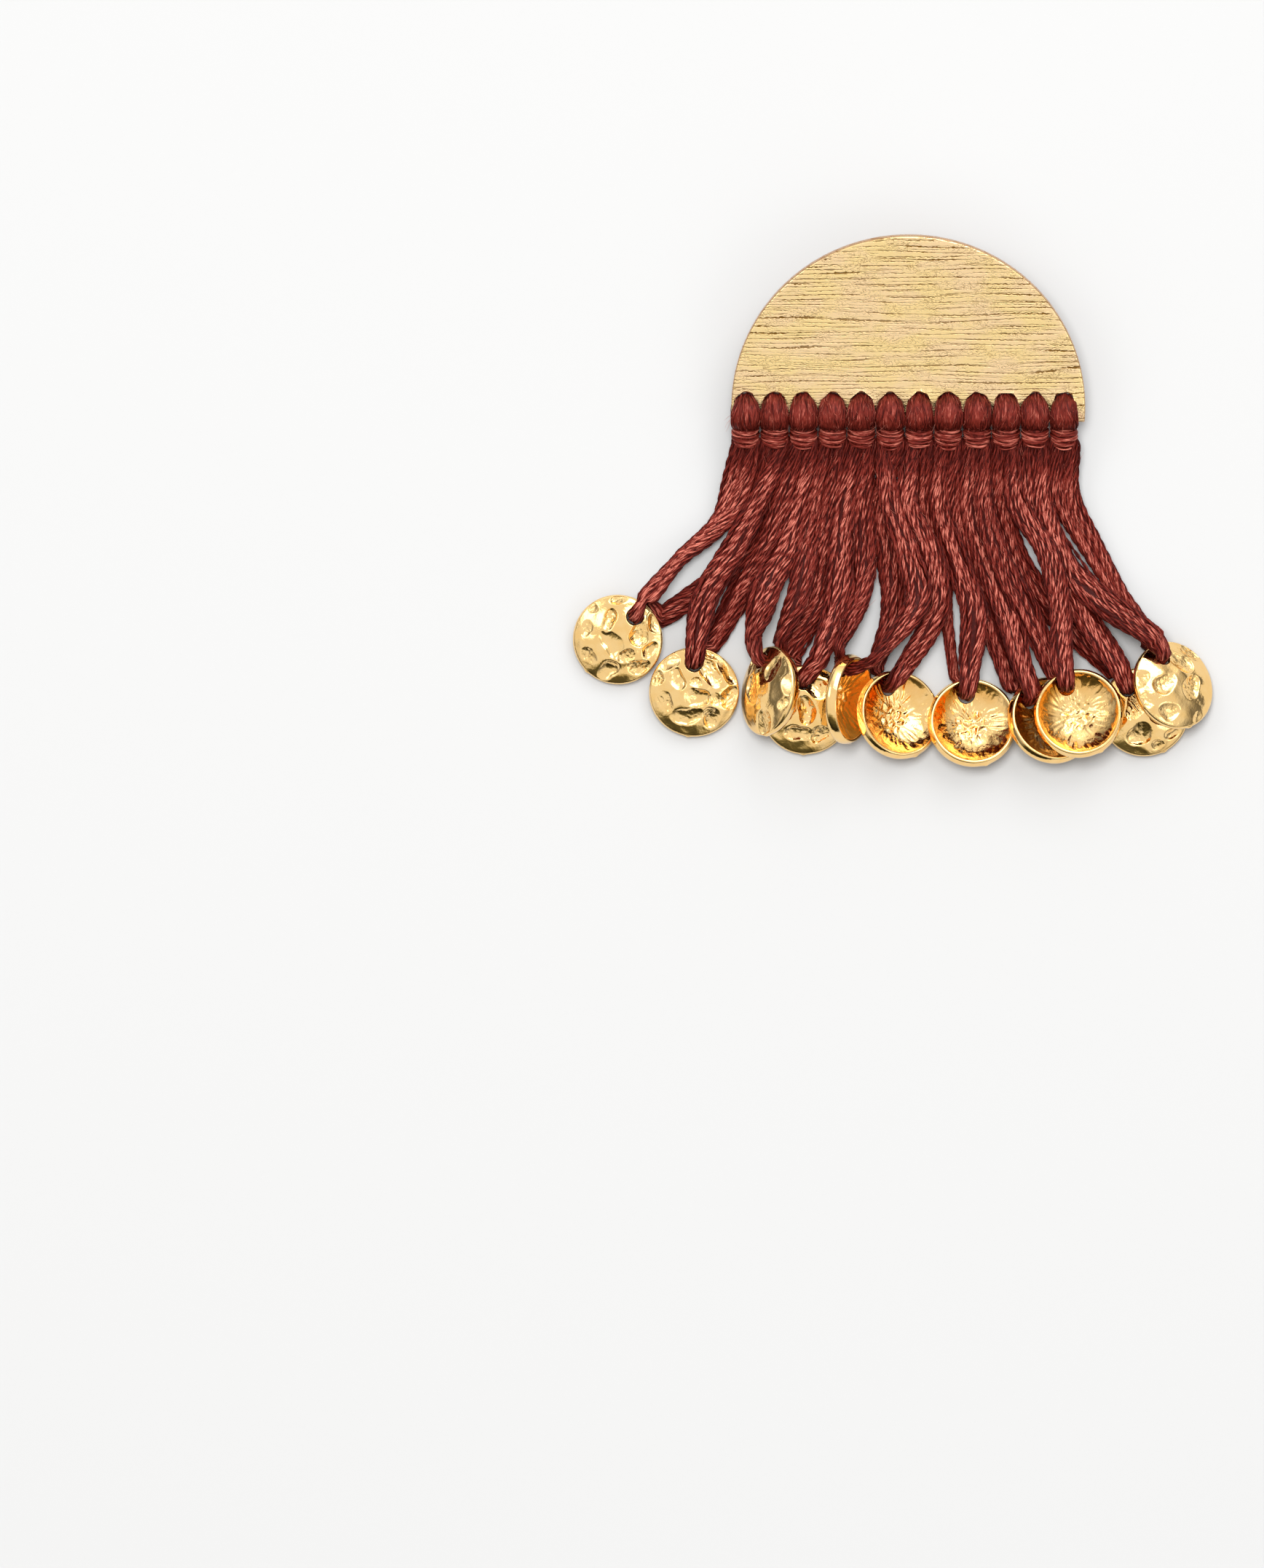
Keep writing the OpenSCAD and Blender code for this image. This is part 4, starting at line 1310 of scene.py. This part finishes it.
# Charms. Across is in charm diameters and down in falls, from the middle of the plate's straight edge; tip
# and towards say how far and which way the seen side leans, high how far it is lifted, in dish heights, and
# eye which way its eye lies. Columns: across, down, shows, tip, towards, high, eye
CHARMS = {
    1: (-3.22, 0.726, Shows.DOME, 8, 233, 0.00, 53),
    2: (-2.38, 0.899, Shows.DOME, 8, 270, 0.00, 90),
    3: (-1.48, 0.903, Shows.DOME, 57, 171, 0.00, 100),
    4: (-1.14, 0.958, Shows.DOME, 8, 275, 0.00, 95),
    5: (-0.60, 0.929, Shows.HOLLOW, 64, 355, 0.24, 90),
    6: (-0.08, 0.974, Shows.HOLLOW, 27, 25, 0.08, 105),
    7: (0.72, 1.000, Shows.HOLLOW, 14, 60, 0.42, 100),
    8: (1.61, 0.990, Shows.HOLLOW, 26, 45, 0.08, 135),
    9: (1.89, 0.970, Shows.HOLLOW, 10, 80, 1.26, 113),
    10: (2.62, 0.965, Shows.DOME, 8, 305, 0.00, 125),
    11: (2.90, 0.888, Shows.DOME, 34, 28, 0.00, 118),
}

# Locks of each knot. Columns: side, dish, way, come, bow, lay, spread, gate, part, tuck
LOCKS = {
    1: (Lock(-1, 1, Way.OVER, 64, (0.10, 0.17, 0.08), (0.6, 0.4, 0.8), (1.2, 1.0, 0.9), 0.85),
        Lock(1, 1, Way.JOIN_OVER, 64, (0.12, 0.17, 0.06), (0.7, 0.5, 0.9), (1.3, 1.25, 1.0), 0.85)),
    2: (Lock(-1, 1, Way.UNDER, 0, (0.12, 0.18, 0.18), (0.4, 0.0, 0.0), (1.4, 1.7, 1.6), 1.4),
        Lock(1, 2, Way.OVER, 85, (0.00, -0.01, -0.05), (1.0, 1.0, 1.2), (1.4, 1.7, 1.7), 1.35, 0.45)),
    3: (Lock(-1, 2, Way.UNDER, 45, (0.04, 0.07, 0.03), (0.5, 0.1, 0.0), (1.5, 1.75, 1.75), 1.5),
        Lock(1, 3, Way.OVER, 106, (0.02, 0.03, -0.01), (0.6, 0.5, 1.4), (1.4, 1.8, 2.1), 1.75)),
    4: (Lock(-1, 3, Way.UNDER, 88, (0.01, 0.02, 0.04), (0.6, 0.4, 1.0), (1.4, 1.7, 1.6), 1.45),
        Lock(1, 4, Way.UNDER, 115, (0.02, 0.04, 0.06), (0.5, 0.1, 0.0), (1.4, 1.75, 1.7), 1.5)),
    5: (Lock(-1, 4, Way.OVER, 56, (0.00, 0.02, 0.04), (0.8, 0.8, 1.0), (1.45, 1.8, 1.7)),
        Lock(1, 5, Way.UNDER, 90, (0.01, 0.05, 0.07), (0.6, 0.4, 0.8), (1.45, 1.8, 1.55), 1.35, 0.0, 1.6)),
    6: (Lock(-1, 5, Way.INTO, 90, (0.04, 0.13, 0.18), (1.3, 1.6, 2.4), (1.55, 1.7, 1.8)),
        Lock(1, 6, Way.UNDER, 105, (-0.06, 0.01, 0.05), (0.3, 0.0, 0.2), (1.5, 1.75, 1.6), 1.2)),
    7: (Lock(-1, 6, Way.OVER, 55, (-0.02, 0.09, 0.13), (1.4, 1.4, 1.4), (1.45, 1.7, 1.6), 1.45),
        Lock(1, 7, Way.UNDER, 115, (-0.05, -0.00, 0.00), (0.3, 0.0, 0.0), (1.4, 1.5, 0.9), 0.75)),
    8: (Lock(-1, 7, Way.OVER, 85, (-0.04, 0.00, 0.05), (0.8, 0.6, 1.0), (1.4, 1.6, 1.8), 1.4, 0.35),
        Lock(1, 8, Way.UNDER, 125, (-0.07, -0.05, -0.02), (0.4, 0.0, 0.0), (1.4, 1.7, 1.7))),
    9: (Lock(-1, 8, Way.OVER, 110, (-0.06, -0.05, -0.01), (0.6, 0.4, 0.9), (1.4, 1.6, 1.7), 1.45),
        Lock(1, 9, Way.UNDER, 120, (-0.08, -0.09, -0.04), (1.0, 1.2, 1.2), (1.35, 1.55, 1.7), 1.6)),
    10: (Lock(-1, 10, Way.UNDER, 130, (-0.12, -0.17, -0.13), (0.3, 0.0, 0.0), (1.4, 1.6, 1.7), 1.5),
         Lock(1, 9, Way.OVER, 102, (-0.04, 0.05, 0.05), (1.1, 1.7, 2.2), (1.5, 1.5, 1.5), 1.5)),
    11: (Lock(-1, 10, Way.OVER, 115, (-0.09, -0.07, -0.06), (0.6, 0.5, 1.0), (1.5, 1.7, 1.8), 1.45),
         Lock(1, 11, Way.OVER, 130, (-0.14, -0.22, -0.20), (0.9, 0.9, 1.2), (1.4, 1.75, 2.1), 1.7)),
    12: (Lock(-1, 11, Way.UNDER, 105, (-0.10, -0.09, -0.05), (0.6, 0.3, 0.4), (1.35, 0.9, 0.75), 0.75),
         Lock(1, 11, Way.JOIN_UNDER, 105, (-0.09, -0.06, -0.02), (0.6, 0.3, 0.4), (1.2, 0.95, 0.8), 0.75)),
}


@dataclass(frozen=True)
class Studio:
    """Pale floor, soft light and the camera that looks straight down, as the photograph does."""

    look_x: float = -29.6045
    look_y: float = -32.076
    view_h: float = 178.0
    away: float = 3000.0
    sensor: float = 24.0
    see_m: float = 20.0
    floor_m: float = 2.5
    floor_colour: Colour = (0.410, 0.410, 0.410)
    pale: Colour = (1.0, 0.995, 0.985)
    yellow: Colour = (1.0, 0.95, 0.55)

    def camera(self) -> None:
        """Makes the camera: its lens shows view_h of the floor from top to bottom."""
        lens = bpy.data.cameras.new("camera")
        lens.sensor_fit = "VERTICAL"
        lens.sensor_height = self.sensor
        lens.lens = self.sensor * self.away / self.view_h
        lens.clip_end = self.see_m
        camera = bpy.data.objects.new("camera", lens)
        camera.location = (self.look_x * MM, self.look_y * MM, self.away * MM)
        bpy.context.scene.collection.objects.link(camera)
        bpy.context.scene.camera = camera

    def floor(self) -> None:
        """Makes the plain pale floor."""
        f = Finish("floor")
        f.set(base_color=self.floor_colour, roughness=0.9, specular_ior_level=0.1)
        mesh = bpy.data.meshes.new("floor")
        r = self.floor_m
        mesh.from_pydata([(-r, -r, 0), (r, -r, 0), (r, r, 0), (-r, r, 0)], [], [(0, 1, 2, 3)])
        mesh.materials.append(f.material)
        floor = bpy.data.objects.new("floor", mesh)
        bpy.context.scene.collection.objects.link(floor)

    def softbox(self, name: str, place: tuple[float, float, float], size: float, power: float,
                shown: bool = True) -> None:
        """Makes a square soft light that looks at the earring.

        Args:
            name: its name.
            place: where it stands, in metres.
            size: its side, in metres.
            power: its power, in watts.
            shown: whether the metal mirrors it.
        """
        lamp = bpy.data.lights.new(name, "AREA")
        lamp.size = size
        lamp.energy = power
        light = bpy.data.objects.new(name, lamp)
        light.location = place
        light.rotation_euler = (-mathutils.Vector(place)).to_track_quat("-Z", "Y").to_euler()
        light.visible_camera = False
        light.visible_glossy = shown
        bpy.context.scene.collection.objects.link(light)

    def sky(self) -> None:
        """Makes the room that the metal mirrors: bright overhead, dark and yellower low down beyond the
        bottom of the picture, with two small bright lights and a wide one beyond its top."""
        world = bpy.data.worlds.new("room")
        bpy.context.scene.world = world
        world.use_nodes = True
        s = Shade(world.node_tree)
        way = s.node("ShaderNodeTexCoord", out="Generated")

        def towards(direction: tuple[float, float, float]) -> Wire:
            """Cosine of the angle to a direction."""
            v = tuple(unit(np.array(direction)))
            return s.node("ShaderNodeVectorMath", {"operation": "DOT_PRODUCT"}, {0: way, 1: v}, "Value")

        high = towards((0, 0, 1)).step(0.10, 0.60)
        top = towards((0, 0, 1)).step(0.86, 0.98)
        dark = towards((-0.25, -0.90, 0.20)).step(0.78, 0.92)
        glow = (high * 0.75 + 0.18 + top * 0.03) * (1 - dark * 0.88)
        spots = (((-0.62, 0.25, 0.75), 0.97, 0.99, 1.8), ((0.62, -0.30, 0.72), 0.975, 0.992, 1.6),
                 ((0.15, 0.95, 0.25), 0.72, 0.97, 0.85))
        for spot, outer, inner, gain in spots:
            glow = glow + towards(spot).step(outer, inner) * gain
        end = s.tree.nodes.new("ShaderNodeOutputWorld")
        colour = s.mix(dark, self.pale, self.yellow)
        back = s.node("ShaderNodeBackground", {}, {"Color": colour, "Strength": glow})
        s.tree.links.new(back.socket, end.inputs[0])

    def build(self) -> None:
        """Makes the whole studio."""
        self.camera()
        self.floor()
        self.sky()
        self.softbox("key", (0.28, 0.62, 0.76), 0.7, 4.8)
        self.softbox("fill", (-0.7, 0.3, 0.7), 0.5, 0.5)
        self.softbox("over", (-0.1, 0.2, 1.5), 0.5, 25.0, False)
        bpy.context.scene.view_settings.view_transform = "Standard"


def main() -> None:
    """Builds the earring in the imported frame, then its studio."""
    logging.basicConfig(level=logging.INFO, format="%(message)s")
    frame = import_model()
    layout = Layout()
    thread, hammered = ThreadFinish().build(), HammeredFinish().build()
    Plate(layout).build(BrushedFinish().build())
    post = frame["nodes"]["ear_post"]
    post.data.materials.clear()
    post.data.materials.append(PostFinish().build())
    charms = {n: Charm(n, *row, marks=MARKS.get(n, PLAIN)) for n, row in CHARMS.items()}
    for charm in charms.values():
        charm.build(layout, hammered)
    for number, locks in LOCKS.items():
        Tassel(number, locks, layout, charms).build(thread)
    Studio().build()


if __name__ == "__main__":
    main()
